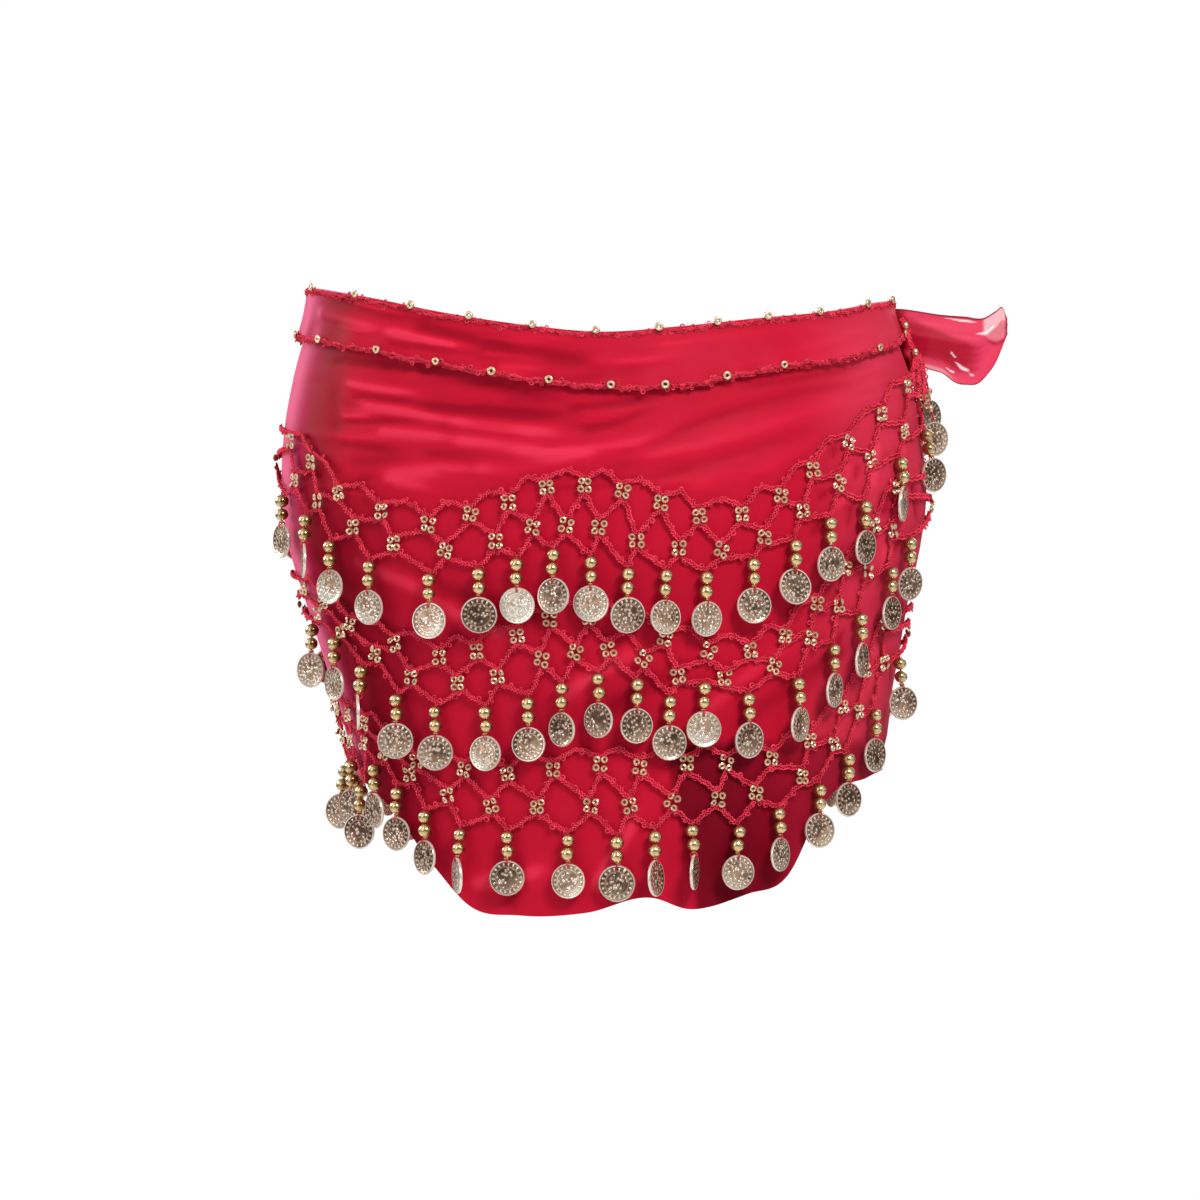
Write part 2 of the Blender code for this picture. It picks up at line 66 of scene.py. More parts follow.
def smooth_curve(stations: Array, values: Array, places: Array) -> Array:
    """Read a smooth curve through given values.

    Each stretch is a cubic whose end slopes are the slopes of its neighbours: value = start (1 - r) +
    end r + pulls, with r = 3 t^2 - 2 t^3 along the stretch.

    Args:
        stations: Rising places of the given values.
        values: The values there.
        places: Where to read the curve; it is level past both ends.

    Returns:
        The values at those places.
    """
    places = np.clip(places, stations[0], stations[-1])
    slopes = np.gradient(values, stations)
    index = np.clip(np.searchsorted(stations, places, side="right") - 1, 0, len(stations) - 2)
    span = stations[index + 1] - stations[index]
    part = (places - stations[index]) / span
    rise = part * part * (3 - 2 * part)
    start_pull = part * (1 - part) ** 2 * span * slopes[index]
    end_pull = part * part * (part - 1) * span * slopes[index + 1]
    return values[index] * (1 - rise) + values[index + 1] * rise + start_pull + end_pull


def soft_step(values: Array) -> Array:
    """Ease from 0 to 1 as the values go from 0 to 1: 3 t^2 - 2 t^3."""
    eased = np.clip(values, 0.0, 1.0)
    return eased * eased * (3 - 2 * eased)


def unit(vectors: Array) -> Array:
    """Scale vectors along the last axis to length 1."""
    return vectors / np.maximum(np.linalg.norm(vectors, axis=-1, keepdims=True), 1e-12)


def read_rows(rows: Sequence[object], place: str, value: str, places: Array) -> Array:
    """Read a smooth curve through one field of a table's rows.

    Args:
        rows: The rows, in rising order of place.
        place: Name of the field that says where each row is.
        value: Name of the field to read.
        places: Where to read it.

    Returns:
        The values there.
    """
    stations = np.array([getattr(row, place) for row in rows], float)
    return smooth_curve(stations, np.array([getattr(row, value) for row in rows], float), places)


def folded(angles: Array) -> Array:
    """Angles from 0 at the knot to 180 degrees on the plain side, the back being a mirror of the front."""
    turned = np.mod(angles, TURN)
    return np.where(turned > TURN / 2, TURN - turned, turned)


def even_turns(count: int, shift: float = 0.0) -> Array:
    """Even angles all the way round in radians, moved on by a share of a step."""
    return 2 * np.pi * (np.arange(count) + shift) / count


def walked_along(points: Array) -> Array:
    """Distance walked along a path up to each of its points."""
    return np.concatenate([[0.0], np.cumsum(np.linalg.norm(np.diff(points, axis=0), axis=1))])


# ---- meshes


@dataclass
class Form:
    """Points and faces of a mesh being built, with flat pattern coordinates and masks for each point."""

    points: Array
    quads: Array
    triangles: Array = field(default_factory=lambda: np.empty((0, 3), int))
    pattern: Array | None = None
    masks: dict[str, Array] = field(default_factory=dict)

    def volume(self) -> float:
        """Signed volume: a sixth of the sum of each triangle's corner products."""
        corners = np.vstack([self.quads[:, [0, 1, 2]], self.quads[:, [0, 2, 3]], self.triangles])
        first, second, third = (self.points[corners[:, index]] for index in range(3))
        return float(np.einsum("ij,ij->", first, np.cross(second, third)) / 6)

    def faced_out(self) -> "Form":
        """Turn the faces round if they point in."""
        if self.volume() < 0:
            self.quads = self.quads[:, ::-1]
            self.triangles = self.triangles[:, ::-1]
        return self


def join(forms: Sequence[Form]) -> Form:
    """Put several forms into one.

    Args:
        forms: The forms.

    Returns:
        One form, with the pattern coordinates and masks that all of them have.
    """
    starts = np.cumsum([0] + [len(form.points) for form in forms])
    quads = np.vstack([form.quads + start for form, start in zip(forms, starts)])
    triangles = np.vstack([form.triangles + start for form, start in zip(forms, starts)])
    pattern = None
    if all(form.pattern is not None for form in forms):
        pattern = np.vstack([form.pattern for form in forms])
    shared = set.intersection(*(set(form.masks) for form in forms))
    masks = {name: np.concatenate([form.masks[name] for form in forms]) for name in sorted(shared)}
    return Form(np.vstack([form.points for form in forms]), quads, triangles, pattern, masks)


def copies(form: Form, places: Array, axes: Array, sizes: Array | None = None,
           tones: Array | None = None) -> Form:
    """Repeat a small form at many places: point = place + axes times local point times size.

    Args:
        form: The form in its own axes.
        places: One row of x, y and z for each copy.
        axes: For each copy a matrix whose rows are the form's three axes.
        sizes: One factor for each copy, or None for all 1.
        tones: One brightness from 0 to 1 for each copy, or None for well spread ones.

    Returns:
        All the copies as one form.
    """
    count, each = len(places), len(form.points)
    local = np.broadcast_to(form.points, (count, each, 3))
    if sizes is not None:
        local = local * sizes[:, None, None]
    points = places[:, None, :] + np.einsum("kij,knj->kni", np.swapaxes(axes, 1, 2), local)
    steps = (np.arange(count) * each)[:, None, None]
    quads = (form.quads[None] + steps).reshape(-1, 4)
    triangles = (form.triangles[None] + steps).reshape(-1, 3)
    pattern = None if form.pattern is None else np.tile(form.pattern, (count, 1))
    if tones is None:
        tones = np.modf(np.arange(count) * 0.618034)[0]
    masks = {name: np.tile(values, count) for name, values in form.masks.items()}
    masks["piece_shade"] = np.repeat(tones, each)
    return Form(points.reshape(-1, 3), quads, triangles, pattern, masks)


def grid_quads(rows: int, columns: int, round_rows: bool = False, round_columns: bool = False) -> Array:
    """Faces of a grid of points that is stored row by row.

    Args:
        rows: Number of rows.
        columns: Number of columns.
        round_rows: True where the last row joins the first.
        round_columns: True where the last column joins the first.

    Returns:
        Four point numbers for each face.
    """
    row = np.arange(rows if round_rows else rows - 1)
    column = np.arange(columns if round_columns else columns - 1)
    row, column = (part.ravel() for part in np.meshgrid(row, column, indexing="ij"))
    here, below = row * columns, (row + 1) % rows * columns
    beside = (column + 1) % columns
    return np.stack([here + column, here + beside, below + beside, below + column], axis=-1)


def pole_fans(rings: int, columns: int) -> Array:
    """Triangles from a form's two poles, which are its last two points, to its first and last rings.

    Args:
        rings: Number of rings.
        columns: Number of points in each.

    Returns:
        Three point numbers for each triangle.
    """
    first = np.arange(columns)
    second = (first + 1) % columns
    last = (rings - 1) * columns
    pole = np.full(columns, rings * columns)
    top = np.stack([pole, second, first], axis=-1)
    low = np.stack([pole + 1, last + first, last + second], axis=-1)
    return np.vstack([top, low])


def both_sides(outer: Array, inner: Array) -> Array:
    """Values of a closed wall's points: its outer grid, then its inner grid with its rows in reverse."""
    return np.concatenate([outer, inner[::-1]])


def double_wall(outer: Array, inner: Array, around: bool) -> Form:
    """Close two facing grids of points into one thin wall of cloth.

    Args:
        outer: Outer points, rows by columns by 3.
        inner: Inner points, in the same layout.
        around: True where the columns run all the way round.

    Returns:
        The closed wall.
    """
    rows, columns = outer.shape[:2]
    loop = both_sides(outer, inner)
    quads = grid_quads(2 * rows, columns, round_rows=True, round_columns=around)
    if not around:
        step = np.arange(rows - 1)
        far = 2 * rows - 1
        for column, turned in ((0, False), (columns - 1, True)):
            ends = [step, step + 1, far - step - 1, far - step]
            cap = np.stack([part * columns + column for part in ends], axis=-1)
            quads = np.vstack([quads, cap[:, ::-1] if turned else cap])
    return Form(loop.reshape(-1, 3), quads)


def tube(centres: Array, side: Array, out: Array, radius: Array | float,
         sides: int, closed: bool) -> Form:
    """Carry a round section along a path: point = centre + radius (cos a side + sin a out).

    Args:
        centres: Points of the path.
        side: First axis of the section at each point.
        out: Second axis of the section at each point.
        radius: Radius at each point, or one for all.
        sides: Even number of corners round the section.
        closed: True where the path joins its own start.

    Returns:
        The tube, with flat ends where it is open.
    """
    turn = even_turns(sides, 0.5)
    reach = np.broadcast_to(np.asarray(radius, float), (len(centres),))[:, None, None]
    ring = np.cos(turn)[None, :, None] * side[:, None, :] + np.sin(turn)[None, :, None] * out[:, None, :]
    points = (centres[:, None, :] + reach * ring).reshape(-1, 3)
    quads = grid_quads(len(centres), sides, round_rows=closed, round_columns=True)
    if not closed:
        fan = np.array([[0, corner, corner + 1, corner + 2] for corner in range(1, sides - 2, 2)])
        last = fan + (len(centres) - 1) * sides
        quads = np.vstack([quads, fan[:, ::-1], last])
    return Form(points, quads)


def new_object(name: str, data: object) -> Object:
    """Put a mesh, a light or a camera into the scene."""
    made = bpy.data.objects.new(name, data)
    bpy.context.scene.collection.objects.link(made)
    return made


def make_piece(name: str, form: Form, finish: Material,
               nodes: Sequence[str] = (), sharp: float = 50.0) -> Object:
    """Turn a form into a finished piece that rides on the scarf's body.

    Args:
        name: Name of the piece.
        form: Its points and faces.
        finish: Its material.
        nodes: CAD nodes that it stands for.
        sharp: Angle in degrees past which an edge is sharp.

    Returns:
        The new object.
    """
    mesh = bpy.data.meshes.new(name)
    mesh.vertices.add(len(form.points))
    mesh.vertices.foreach_set("co", form.points.astype(np.float32).ravel())
    loops = np.concatenate([form.quads.ravel(), form.triangles.ravel()]).astype(np.int32)
    quad_starts = np.arange(len(form.quads)) * 4
    starts = np.concatenate([quad_starts, len(form.quads) * 4 + np.arange(len(form.triangles)) * 3])
    mesh.loops.add(len(loops))
    mesh.loops.foreach_set("vertex_index", loops)
    mesh.polygons.add(len(starts))
    mesh.polygons.foreach_set("loop_start", starts.astype(np.int32))
    mesh.update(calc_edges=True)
    if form.pattern is not None:
        layer = mesh.uv_layers.new(name="pattern")
        layer.data.foreach_set("uv", form.pattern[loops].astype(np.float32).ravel())
    for mask, values in form.masks.items():
        attribute = mesh.attributes.new(mask, "FLOAT", "POINT")
        attribute.data.foreach_set("value", values.astype(np.float32))
    mesh.shade_smooth()
    mesh.set_sharp_from_angle(angle=math.radians(sharp))
    mesh.materials.append(finish)
    piece = new_object(name, mesh)
    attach(piece, BODY)
    if nodes:
        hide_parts(*nodes)
    triangles = 2 * len(form.quads) + len(form.triangles)
    log.info("%s: %d triangles, for %s", name, triangles, ", ".join(nodes) or "no solid")
    return piece


# ---- form of the wrap


@dataclass(frozen=True)
class Section:
    """Level cut through the hips, in metres."""

    height: float
    half_width: float
    half_depth: float
    centre_x: float


@dataclass(frozen=True)
class Edges:
    """Heights of the band's two edges at one angle, in millimetres."""

    angle: float
    top: float
    band: float


@dataclass(frozen=True)
class Hem:
    """Height of the wrap's lower edge at one angle, in millimetres."""

    angle: float
    height: float


@dataclass(frozen=True)
class Crease:
    """One soft fold from a start to an end, each an angle and a height in millimetres.

    Depth is out of the cloth for a ridge and negative for a trough; width and bow are along the cloth.
    """

    start_angle: float
    start_height: float
    end_angle: float
    end_height: float
    depth: float
    width: float
    bow: float = 0.0


@dataclass(frozen=True)
class NetColumn:
    """One column of a net: its upper flower, its lower flower on the side away from the knot, and its drop.

    Angles are in degrees and heights in millimetres. The drop's coin turns from straight ahead, has a tone
    that is partly tarnish and partly painted reflection, and leans, the turn and the lean in degrees.
    """

    first_angle: float
    first_height: float
    second_angle: float
    second_height: float
    drop_angle: float
    drop_height: float
    turn: float
    tone: float
    lean: float = 0.0


SECTIONS = tuple(Section(*row) for row in (
    (0.02, 0.157, 0.104, 0), (-0.01, 0.1605, 0.107, 0), (-0.04, 0.169, 0.112, 0.001),
    (-0.07, 0.174, 0.115, 0.001), (-0.1, 0.176, 0.117, 0.002), (-0.13, 0.1725, 0.116, 0.002),
    (-0.16, 0.1645, 0.112, 0.003), (-0.19, 0.157, 0.109, 0.005), (-0.22, 0.1495, 0.105, 0.007),
    (-0.26, 0.143, 0.102, 0.009), (-0.3, 0.14, 0.1, 0.01), (-0.36, 0.138, 0.099, 0.01),
))

FRONT_EDGES = tuple(Edges(*row) for row in (
    (0, 5, -12), (18, 1, -22), (36, -6, -31), (54, -11, -38), (72, -16, -47), (90, -19, -48),
    (108, -15, -43), (126, -8, -35), (144, 1, -26), (162, 8, -19), (180, 12, -14),
))

FRONT_HEM = tuple(Hem(*row) for row in (
    (0, -252), (18, -256), (34, -270), (44, -308), (54, -316), (72, -323), (81, -317), (99, -325),
    (117, -327), (131, -322), (140, -302), (152, -272), (166, -256), (180, -252),
))

FRONT_CREASES = tuple(Crease(*row) for row in (
    (150, -43, 126, -52, 1, 2.2, 0.9), (146, -56, 115, -69, 1.1, 3, -0.9),
    (124, -66, 93, -74, 1, 3.6, 0.7), (149, -62, 138, -64, 0.8, 1.8, -0.6),
    (140, -70, 117, -77, 0.9, 2.6, -0.8), (123, -76, 96, -83, 0.9, 3.4, -0.4),
    (139, -94, 108, -87, 0.8, 5, 1), (119, -92, 89, -83, 0.7, 5, -0.5),
    (155, -32, 129, -38, -0.7, 2, -1.6), (133, -37, 93, -58, -1, 3.2, 0),
    (147, -51, 126, -57, -0.9, 1.5, -0.1), (132, -56, 91, -64, -1.2, 3.4, 1.6),
    (150, -65, 125, -67, -0.8, 1.6, -0.8), (128, -67, 102, -77, -0.4, 1.8, 0.4),
    (149, -76, 131, -82, -0.8, 2.6, 0.1), (130, -82, 98, -89, -0.6, 3, 0.8),
    (146, -87, 129, -86, -0.5, 3, -0.2), (146, -100, 138, -94, -0.6, 2, -0.5),
    (152, -43, 149, -87, -0.5, 4, -1.9), (164, -3, 135, -19, 0.8, 2.6, -0.1),
    (141, -16, 111, -30, 1, 3, 0.8), (117, -29, 99, -35, 0.7, 2.4, 0.4),
    (150, -1, 133, -11, 0.5, 1.6, -0.4), (159, 2, 130, -15, -0.6, 2.2, 0),
    (134, -13, 107, -29, -1.1, 3.4, 1.2), (118, -25, 84, -36, -1, 4.2, 1.9),
    (122, -37, 104, -44, 0.6, 1.4, -0.1), (140, -22, 118, -33, -0.5, 2, 0.7),
    (96, -34, 67, -28, 0.5, 3, 3.1), (105, -47, 76, -38, -0.4, 2, 0.5), (99, -60, 75, -52, -0.8, 2.4, 1.4),
    (96, -72, 76, -56, -0.7, 2.2, 2.4), (102, -82, 71, -67, 0.7, 3.4, 4.7),
    (81, -80, 22, -40, -0.6, 3, -6.4), (86, -90, 24, -47, 0.7, 4.4, -0.5),
    (80, -95, 35, -59, -0.5, 3.4, 3.5), (74, -102, 42, -74, 0.5, 3.2, 3.8),
    (61, -49, 21, -31, -0.7, 2, 0.5), (57, -38, 18, -20, 0.4, 3, 0.9), (67, -17, 12, -2, -0.35, 3, 1.1),
    (82, -29, 40, -15, 0.35, 3, -1), (132, -158, 108, -183, 0.9, 5, 2),
    (129, -152, 98, -171, -0.9, 4.6, 2), (148, -137, 125, -162, 0.8, 4.6), (156, -158, 133, -189, -0.9, 5),
    (105, -215, 76, -180, 0.8, 5, -2), (95, -224, 67, -190, -0.9, 5, -2), (70, -225, 38, -170, 0.9, 5, -2),
    (60, -231, 26, -180, -0.9, 5, -2), (132, -311, 104, -298, 0.9, 5, 2), (98, -316, 82, -262, 1, 5, 1),
    (62, -322, 52, -272, -1, 5), (120, -326, 116, -290, -0.8, 5), (40, -78, 40, -86, -1.2, 2.6),
    (42, -101, 44, -109, -1.1, 2.4), (34, -87, 35, -97, -1.1, 1.8), (36, -108, 36, -123, -1.1, 2.6),
    (26, -103, 27, -117, -1.7, 4), (17, -96, 12, -120, -1.4, 2.6), (20, -124, 21, -138, -1.2, 2.2),
    (24, -140, 24, -156, -1.2, 2.2), (43, -119, 45, -128, -1.1, 3), (38, -132, 32, -142, -1, 2.2),
    (39, -148, 39, -159, -0.9, 2.2), (28, -74, 32, -107, 1.1, 3.2), (37, -87, 38, -99, 0.9, 2.6),
    (37, -104, 41, -115, 0.9, 2.2), (24, -129, 26, -151, 1.1, 2.4), (18, -76, 21, -90, 0.8, 1.4),
    (34, -176, 33, -197, -1.3, 2.8), (37, -187, 38, -198, -1, 2.6), (46, -159, 45, -172, -0.9, 3),
    (36, -171, 37, -190, 0.9, 2.4), (4, -221, 4, -241, 1, 1.8), (24, -188, 24, -208, -0.9, 2),
    (22, -182, 21, -209, 0.8, 2),
))


def fine_creases(count: int = 80, seed: int = 23) -> tuple[Crease, ...]:
    """Small creases of the front between the main ones, each along the pull of the cloth where it lies.

    Args:
        count: Number of creases.
        seed: Source of their uneven places.

    Returns:
        The creases.
    """
    rng = np.random.default_rng(seed)
    middles = rng.uniform(24, 150, count)
    levels = rng.uniform(-104, -6, count)
    slopes = np.interp(middles, (20, 60, 90, 120, 150), (-0.55, -0.60, -0.05, 0.30, 0.38))
    slopes = slopes + rng.uniform(-0.07, 0.07, count)
    halves = rng.uniform(5, 13, count)
    depths = rng.uniform(0.20, 0.48, count) * np.where(rng.random(count) < 0.5, -1, 1)
    depths = depths * np.interp(middles, (60, 100), (0.55, 1.0))
    widths = rng.uniform(1.3, 2.3, count)
    columns = (middles + halves, levels + slopes * halves, middles - halves, levels - slopes * halves,
               depths, widths, rng.uniform(-1.2, 1.2, count))
    return tuple(Crease(*(float(value) for value in row)) for row in np.column_stack(columns))


UPPER_COLUMNS = tuple(NetColumn(*row) for row in (
    (15.2, -44.4, 19.8, -69, 9.2, -66, 42, 0.2), (27.2, -60.5, 31.6, -84.7, 23.4, -82.4, 74, 0.6),
    (37, -76, 40, -98, 34, -106, 54, 0.1), (46, -91, 48, -113, 42, -115, 40, 0.4, -14),
    (53, -105, 56, -127, 49.5, -127, 28, 0.28), (61, -115, 65, -134, 58, -137, 17, 0.45),
    (70, -116, 74, -133, 68, -144, 33, 0.75), (78, -109, 83, -129, 76.9, -143, 31, 0.62),
    (86, -103, 91, -122, 85, -142, 20, 0.3), (94, -100, 98, -121, 92.8, -136, 15, 0.85),
    (102, -101, 105, -122, 100.7, -132, 33, 0.5, -12), (110, -109, 113, -129, 108.6, -137, 15, 1.25),
    (118, -115, 124, -134, 117, -142, 3, 0.1), (127, -120, 135, -130, 128, -145, 22, 0.72),
    (137, -113, 144, -121, 141, -138, 36, 0.8), (147, -103, 153, -107, 150, -127, 41, 0.95, -6),
    (155, -86, 161, -95.5, 156.5, -113, 82, 0.5), (164, -74, 180, -84, 166.5, -102, 58, 0.6, 8),
))

MIDDLE_COLUMNS = tuple(NetColumn(*row) for row in (
    (24.5, -99.7, 24.8, -122.8, 19.2, -125.4, 42, 0.35), (30.2, -120.6, 30.2, -144.5, 24, -141, 56, 0.1),
    (36.2, -143, 36.4, -163, 30.6, -166, 68, 0.3), (42, -162, 42.5, -180, 37, -182, 62, 0.5, 10),
    (49, -179, 51, -195, 45, -200, 59, 0.55, 10), (57, -187, 63, -201, 57, -208, 40, 0.35, -14),
    (67, -187, 74, -200, 68.1, -202, 15, 0.95), (77, -180, 82, -191, 76.3, -209, 13, 0.5),
    (86, -172, 90, -186, 84, -200, 25, 0.2), (94, -169, 98, -187, 92.8, -197, 39, 0.42, -14),
    (103, -170, 106, -191, 101.6, -202, 43, 0.35, -18), (111, -179, 117, -200, 110.2, -210, 16, 0.4),
    (121, -187, 127, -204, 121, -215, 29, 0.8, -8), (130, -190, 138, -201, 133, -215, 2, 0.48),
    (140, -183, 146, -189, 142, -209, 2, 0.6), (151, -173, 154.5, -177, 150, -194, 85, 0.4),
    (158, -161, 161.5, -167, 156.5, -179, 54, 0.6, -18), (165.5, -153.5, 180, -160, 164.8, -172, 36, 0.75),
))

LOWER_COLUMNS = tuple(NetColumn(*row) for row in (
    (21.5, -172, 19.4, -194, 13.7, -190, 30, 0.5), (25.8, -197.6, 26.2, -220, 21.3, -217.6, 50, 0.25),
    (31.5, -217, 33, -237, 29, -241, 40, 0.2), (40, -235, 41.5, -254, 37, -257, 30, 0.55),
    (50, -244, 54, -262, 48, -269, 57, 0.45), (62, -246, 64, -265, 59, -278, 22, 0.66),
    (72, -246, 76, -266, 71, -277, 78, 0.1), (84, -248, 87, -268, 80.6, -280, 66, 0.3, -8),
    (94, -246, 97, -268, 90.4, -283, 2, 0.35), (106, -249, 111, -269, 103, -282, 17, 0.7),
    (118, -252, 123, -269, 119, -281, 3, 0.36), (129, -250, 134, -264, 131, -280, 75, 0.9),
    (141, -246, 143.5, -253, 140, -271, 52, 0.3), (148.5, -234, 150.5, -242, 147.3, -259, 36, 0.3),
    (155, -226, 157, -237, 153.3, -247, 60, 0.4), (161.5, -222, 163.5, -236, 160.1, -259, 27, 0.15),
    (168, -219, 170, -234, 163.8, -246, 45, 0.5), (175, -217, 178, -230, 169.5, -249, 30, 0.6),
))


@dataclass(frozen=True)
class HipForm:
    """Shape of the worn scarf: where each line runs, where the cloth lies and where it is shaded.

    Angles are in degrees and other sizes in metres.
    """

    widest_height: float = -0.100
    evening: float = 0.10
    full_fall: float = 0.30
    ripple_count: int = 5
    ripple_depth: float = 0.0022
    ripple_phase: float = 0.6
    pleat_angle: float = 74.0
    pleat_width: float = 9.0
    pleat_back: float = 12.0
    pleat_recovery: float = 26.0
    pleat_depth: float = 0.005
    pleat_top: float = -0.285
    pleat_rise: float = 0.03
    arc_per_degree: float = 2.55
    inner_share: float = 0.35

    def edge(self, line: str, angles: Array) -> Array:
        """Height of one of the band's two edges."""
        return read_rows(FRONT_EDGES, "angle", line, folded(angles)) * MM

    def hem(self, angles: Array) -> Array:
        """Height of the wrap's lower edge."""
        return read_rows(FRONT_HEM, "angle", "height", folded(angles)) * MM

    def plan(self, angles: Array, heights: Array) -> tuple[Array, Array]:
        """Inner side of the cloth in plan, and the direction out of it.

        x = centre + half width cos t and y = -half depth sin t, with t = angle + evening sin 2 angle,
        moved out by upright ripples that grow towards the hem and in by one pleat below the lower net.

        Args:
            angles: Angles.
            heights: Heights.

        Returns:
            Places and outward directions, each with x and y last.
        """
        angles, heights = np.broadcast_arrays(np.asarray(angles, float), np.asarray(heights, float))
        half_width, half_depth, centre_x = (
            read_rows(SECTIONS[::-1], "height", name, heights)
            for name in ("half_width", "half_depth", "centre_x")
        )
        turn = np.radians(angles)
        turn = turn + self.evening * np.sin(2 * turn)
        across, along = np.cos(turn), -np.sin(turn)
        outward = unit(np.stack([across / half_width, along / half_depth], axis=-1))
        wave = np.sin(np.radians(angles) * self.ripple_count + self.ripple_phase)
        ripple = self.ripple_depth * soft_step(-heights / self.full_fall) * wave
        inside = soft_step((self.pleat_angle - angles) / self.pleat_width)
        recovery = 1 - soft_step((self.pleat_angle - self.pleat_back - angles) / self.pleat_recovery)
        depth = soft_step((self.pleat_top - heights) / self.pleat_rise)
        on_front = (angles >= 0) & (angles <= TURN / 2)
        pleat = -self.pleat_depth * inside * recovery * depth * on_front
        places = np.stack([centre_x + half_width * across, half_depth * along], axis=-1)
        return places + outward * (ripple + pleat)[..., None], outward

    def points(self, angles: Array, heights: Array, lifts: Array | float) -> Array:
        """Points over the cloth.

        Args:
            angles: Angles.
            heights: Heights.
            lifts: Distances out of the inner side.

        Returns:
            Points with x, y and z last.
        """
        places, outward = self.plan(angles, heights)
        lifted = places + outward * np.broadcast_to(np.asarray(lifts, float), places.shape[:-1])[..., None]
        return np.concatenate([lifted, np.broadcast_to(heights, places.shape[:-1])[..., None]], axis=-1)

    def axes(self, angles: Array, heights: Array) -> Array:
        """Axes of the cloth at places on it.

        Args:
            angles: Angles.
            heights: Heights.

        Returns:
            Matrices whose rows point across the cloth, up, and out of it.
        """
        _, outward = self.plan(angles, heights)
        out = np.concatenate([outward, np.zeros((*outward.shape[:-1], 1))], axis=-1)
        up = np.broadcast_to(np.array([0.0, 0.0, 1.0]), out.shape)
        return np.stack([np.cross(up, out), up, out], axis=-2)

    def hang_height(self, heights: Array, roots: Array) -> Array:
        """Height at which to read the plan for what hangs plumb from its root below the widest part."""
        return np.maximum(heights, np.minimum(roots, self.widest_height))

    def relief(self, angles: Array, heights: Array) -> Array:
        """Fold relief of the chiffon.

        Each crease adds depth exp(-(d / width)^2) along its length, with d the distance from its bowed
        line, rising quickly at its start and fading over its far end. The back repeats them, shifted.

        Args:
            angles: Angles.
            heights: Heights.

        Returns:
            The distance out of the smooth cloth.
        """
        angles = np.mod(angles, TURN)
        total = np.zeros(np.broadcast(angles, heights).shape)
        for crease in self.creases():
            centre = (crease.start_angle + crease.end_angle) / 2
            near = np.mod(angles - centre + TURN / 2, TURN) - TURN / 2 + centre
            along_x = (crease.end_angle - crease.start_angle) * self.arc_per_degree
            along_z = crease.end_height - crease.start_height
            length = math.hypot(along_x, along_z)
            shift_x = (near - crease.start_angle) * self.arc_per_degree
            shift_z = heights / MM - crease.start_height
            part = (shift_x * along_x + shift_z * along_z) / length ** 2
            off = (shift_z * along_x - shift_x * along_z) / length
            off = off - crease.bow * 4 * part * (1 - part)
            window = soft_step(part * 7.0) * soft_step((1 - part) * 2.4)
            total += crease.depth * MM * window * np.exp(-((off / crease.width) ** 2))
        return total

    def creases(self) -> tuple[Crease, ...]:
        """Every crease: the front's, and the same mirrored on the back and moved a little by a fixed rule."""
        front = (*FRONT_CREASES, *fine_creases())
        made = []
        for index, crease in enumerate(front):
            sway = 4.0 * math.sin(index * 2.4)
            drop = 3.0 * math.sin(index * 1.7 + 0.5)
            stretch = 1.0 + 0.25 * math.sin(index * 3.1)
            middle = TURN - (crease.start_angle + crease.end_angle) / 2 + sway
            half = (crease.start_angle - crease.end_angle) / 2 * stretch
            depth = crease.depth * (1.1 - 0.3 * abs(math.sin(index)))
            made.append(Crease(middle + half, crease.end_height + drop, middle - half,
                               crease.start_height + drop, depth, crease.width, crease.bow))
        return (*front, *made)

    def shade(self, angles: Array, heights: Array) -> Array:
        """How far the cloth lies in shade, from 0 to 1: under layers and turned-in stretches.

        The largest of three parts: a turned-in strip down the plain side, the lower plain side, and the
        deep pleat on the knot side of the front's lower edge, whose edge slants with the height.

        Args:
            angles: Angles.
            heights: Heights.

        Returns:
            The share of shade.
        """
        side = folded(angles)
        strip = 0.58 * soft_step((side - 144) / 11) * (1 - soft_step((side - 158) / 9))
        low_side = 0.60 * soft_step((side - 130) / 20) * soft_step((-0.085 - heights) / 0.045)
        edge = 79 + (heights + 0.237) / 0.088 * 9
        pleat = soft_step((edge - side) / 2.5) * soft_step((-0.232 - heights) / 0.008)
        pleat = pleat * (1 - 0.35 * soft_step((edge - 16 - side) / 20))
        return np.maximum(np.maximum(strip, low_side), pleat)

    def finish_wall(self, wall: Form, angles: Array, heights: Array, relief: Array) -> Form:
        """Give a closed wall its flat pattern and its looks, which are fainter on its inner side.

        Folds are calmer towards the knot. The fold mask paints shade in troughs and highlights on ridges; the
        plain side takes a painted sheen where it is seen along its surface, and a painted highlight lies next
        to the knot.

        Args:
            wall: The wall, outer grid first and inner grid in reverse after it.
            angles: Angles of the outer grid.
            heights: Heights of the outer grid.
            relief: Fold relief of the outer grid.

        Returns:
            The wall with its faces out.
        """
        flat = np.stack([angles * self.arc_per_degree * MM, heights], axis=-1)
        wall.pattern = both_sides(flat, flat).reshape(-1, 2)
        side = folded(angles)
        # fold: painted shade in troughs and painted highlight on ridges, from the relief
        fold = np.clip(EVEN_FOLD + relief / MM * 0.45, 0.0, 1.0) - EVEN_FOLD
        fold = (0.55 + 0.45 * soft_step((side - 55) / 45)) * fold
        wall.masks["fold"] = EVEN_FOLD + both_sides(fold, self.inner_share * fold).ravel()
        # painted shade, the side that takes the painted sheen, and the painted highlight by the knot
        looks = {
            "shade": self.shade(angles, heights),
            "bloom": soft_step((side - 120) / 28),
            "glow": 1.0 - soft_step((side - 26) / 24),
        }
        for mask, values in looks.items():
            wall.masks[mask] = both_sides(values, self.inner_share * values).ravel()
        return wall.faced_out()


# ---- materials


